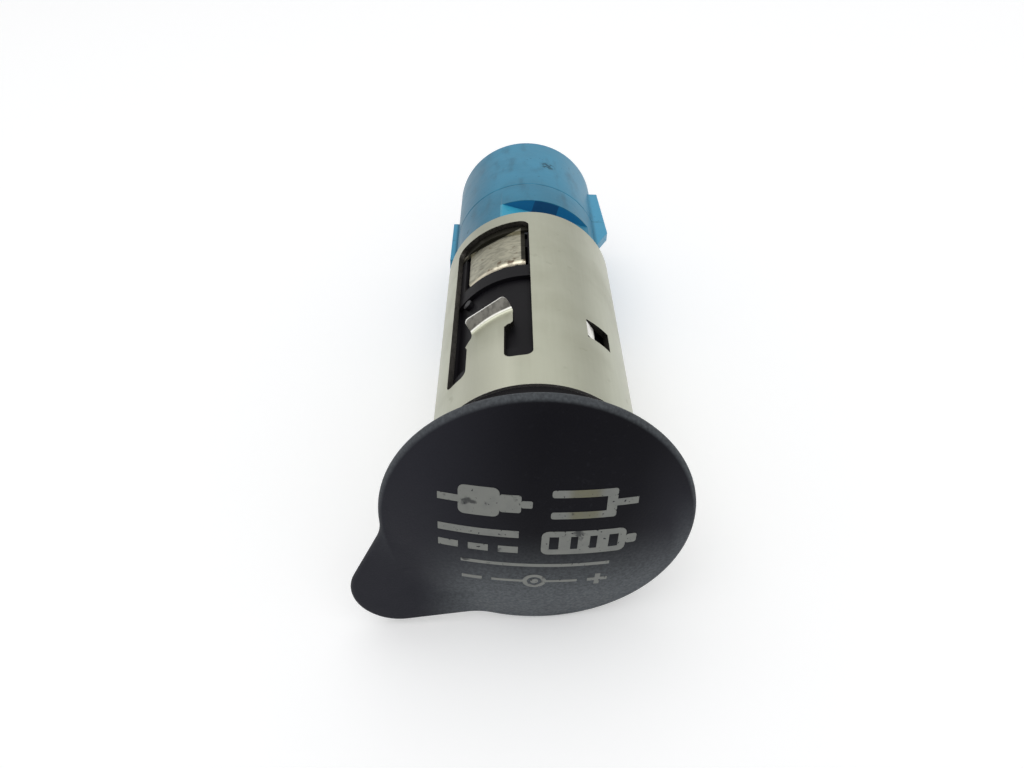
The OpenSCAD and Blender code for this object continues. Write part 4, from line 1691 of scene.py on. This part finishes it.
@dataclass
class CadPieces(Sheetwork):
    """The CAD nodes that keep their own shape and get a finish."""

    finishes: tuple[tuple[str, Finish, Slot], ...] = (
        ("hinge_pin", PIN, Slot.PIN),
        ("barrel", BLACK, Slot.BARREL),
        ("ground_clip_upper", STRIP, Slot.CLIP),
        ("ground_clip_lower", STRIP, Slot.CLIP),
        ("ground_ring", STRIP, Slot.CLIP),
        ("ground_rivet", RIVETS, Slot.RIVET),
        ("ground_terminal", BRASS, Slot.BRASS),
        ("contact_insulator", BOARD, Slot.FIBRE),
        ("centre_contact", BRASS, Slot.BRASS),
        ("contact_rivet", RIVETS, Slot.RIVET),
        ("spring_washer", PIN, Slot.PIN),
        ("positive_terminal", BRASS, Slot.BRASS),
    )

    def dress(self, nodes: Mapping[str, bpy.types.Object]) -> None:
        """Puts each finish into its node's material slots.

        Args:
            nodes: The frame's objects by name.
        """
        for name, finish, slot in self.finishes:
            node = nodes[name]
            if not node.data.materials:
                node.data.materials.append(finish.material())
            for number in range(len(node.material_slots)):
                node.material_slots[number].material = finish.material()
            LOG.info("%s: CAD shape with %s", name, finish.name)


@dataclass(frozen=True)
class Lamp:
    """A square lamp: its name, its place and its side in metres, and its power in watts."""

    name: str
    place: tuple[float, float, float]
    size: float
    power: float

    def hang(self, target: Vector) -> None:
        """Adds the lamp to the scene.

        Args:
            target: The place in metres that it shines at.
        """
        data = bpy.data.lights.new(self.name, "AREA")
        data.size = self.size
        data.energy = self.power
        lamp = bpy.data.objects.new(self.name, data)
        lamp.location = self.place
        lamp.rotation_euler = (target - Vector(self.place)).to_track_quat("-Z", "Y").to_euler()
        bpy.context.scene.collection.objects.link(lamp)


@dataclass
class Studio:
    """The camera, the soft lamps, the pale world and the white table.

    The camera's place is in millimetres, and its three axes are those of the photograph. The world
    shines at the strength of the sky, and mirrors in it see walls and a brighter ceiling, which
    blend over the horizon's band of heights.
    """

    camera_place: tuple[float, float, float] = (-5.389, -71.786, 68.915)
    camera_right: tuple[float, float, float] = (0.99939, -0.00324, 0.0349)
    camera_down: tuple[float, float, float] = (0.02542, -0.61855, -0.78533)
    camera_ahead: tuple[float, float, float] = (0.02413, 0.78574, -0.61809)
    lens: float = 29.11
    sensor: float = 36.0
    clip: tuple[float, float] = (0.005, 20.0)
    floor_slope: tuple[float, float] = (0.10765, 0.07666)
    floor_height: float = -17.275
    floor_half: float = 3000.0
    lamps: tuple[Lamp, ...] = (
        Lamp("overhead", (-0.1, -0.02, 0.6), 0.7, 1.35),
        Lamp("front_fill", (0.3, -0.5, 0.35), 0.5, 0.3),
    )
    lamp_target: tuple[float, float, float] = (0.0, 0.02, 0.0)
    horizon: tuple[float, float] = (0.35, 0.62)
    sky: float = 0.6
    walls: float = 0.62
    ceiling: float = 1.05

    def camera(self) -> None:
        """Sets the camera at the photograph's angle."""
        data = bpy.data.cameras.new("camera")
        data.sensor_width = self.sensor
        data.lens = self.lens
        data.clip_start, data.clip_end = self.clip
        camera = bpy.data.objects.new("camera", data)
        axes = (Vector(self.camera_right), -Vector(self.camera_down), -Vector(self.camera_ahead))
        turn = Matrix(axes).transposed().to_4x4()
        camera.matrix_world = Matrix.Translation(Vector(self.camera_place) * MM) @ turn
        bpy.context.scene.collection.objects.link(camera)
        bpy.context.scene.camera = camera

    def table(self) -> None:
        """Lays the white table under the points that the socket rests on."""
        bm = bmesh.new()
        bmesh.ops.create_grid(bm, x_segments=8, y_segments=8, size=self.floor_half * MM)
        for vert in bm.verts:
            slope = self.floor_slope[0] * vert.co.x + self.floor_slope[1] * vert.co.y
            vert.co.z = self.floor_height * MM + slope
        mesh = bpy.data.meshes.new("table")
        bm.to_mesh(mesh)
        bm.free()
        mesh.materials.append(TABLE.material())
        table = bpy.data.objects.new("table", mesh)
        bpy.context.scene.collection.objects.link(table)

    def lights(self) -> None:
        """Adds the overhead lamp, a weak front lamp and the pale world."""
        for lamp in self.lamps:
            lamp.hang(Vector(self.lamp_target))
        world = bpy.data.worlds.new("pale_world")
        shader = Shader(world)
        seen = shader.ray(Ray.CAMERA)
        mirrored = shader.ray(Ray.GLOSSY).most(shader.ray(Ray.TRANSMISSION))
        way = shader.node("ShaderNodeTexCoord", output="Generated")
        height = shader.node("ShaderNodeSeparateXYZ", {}, {0: way}, "Z")
        room = self.walls + (self.ceiling - self.walls) * height.ramp(*self.horizon)
        strength = seen + (1.0 - seen) * (self.sky + mirrored * (room - self.sky))
        shader.close("ShaderNodeBackground", {"Color": (1.0, 1.0, 1.0), "Strength": strength})
        bpy.context.scene.world = world
        bpy.context.scene.view_settings.view_transform = "Standard"


def main() -> None:
    """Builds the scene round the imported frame."""
    logging.basicConfig(level=logging.INFO, format="%(name)s: %(message)s")
    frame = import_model()
    studio = Studio()
    studio.camera()
    studio.lights()
    studio.table()
    lid = Lid()
    lid.build()
    lid.print_marks()
    Shell().build()
    Housing().build()
    CadPieces().dress(frame["nodes"])


if __name__ == "__main__":
    main()
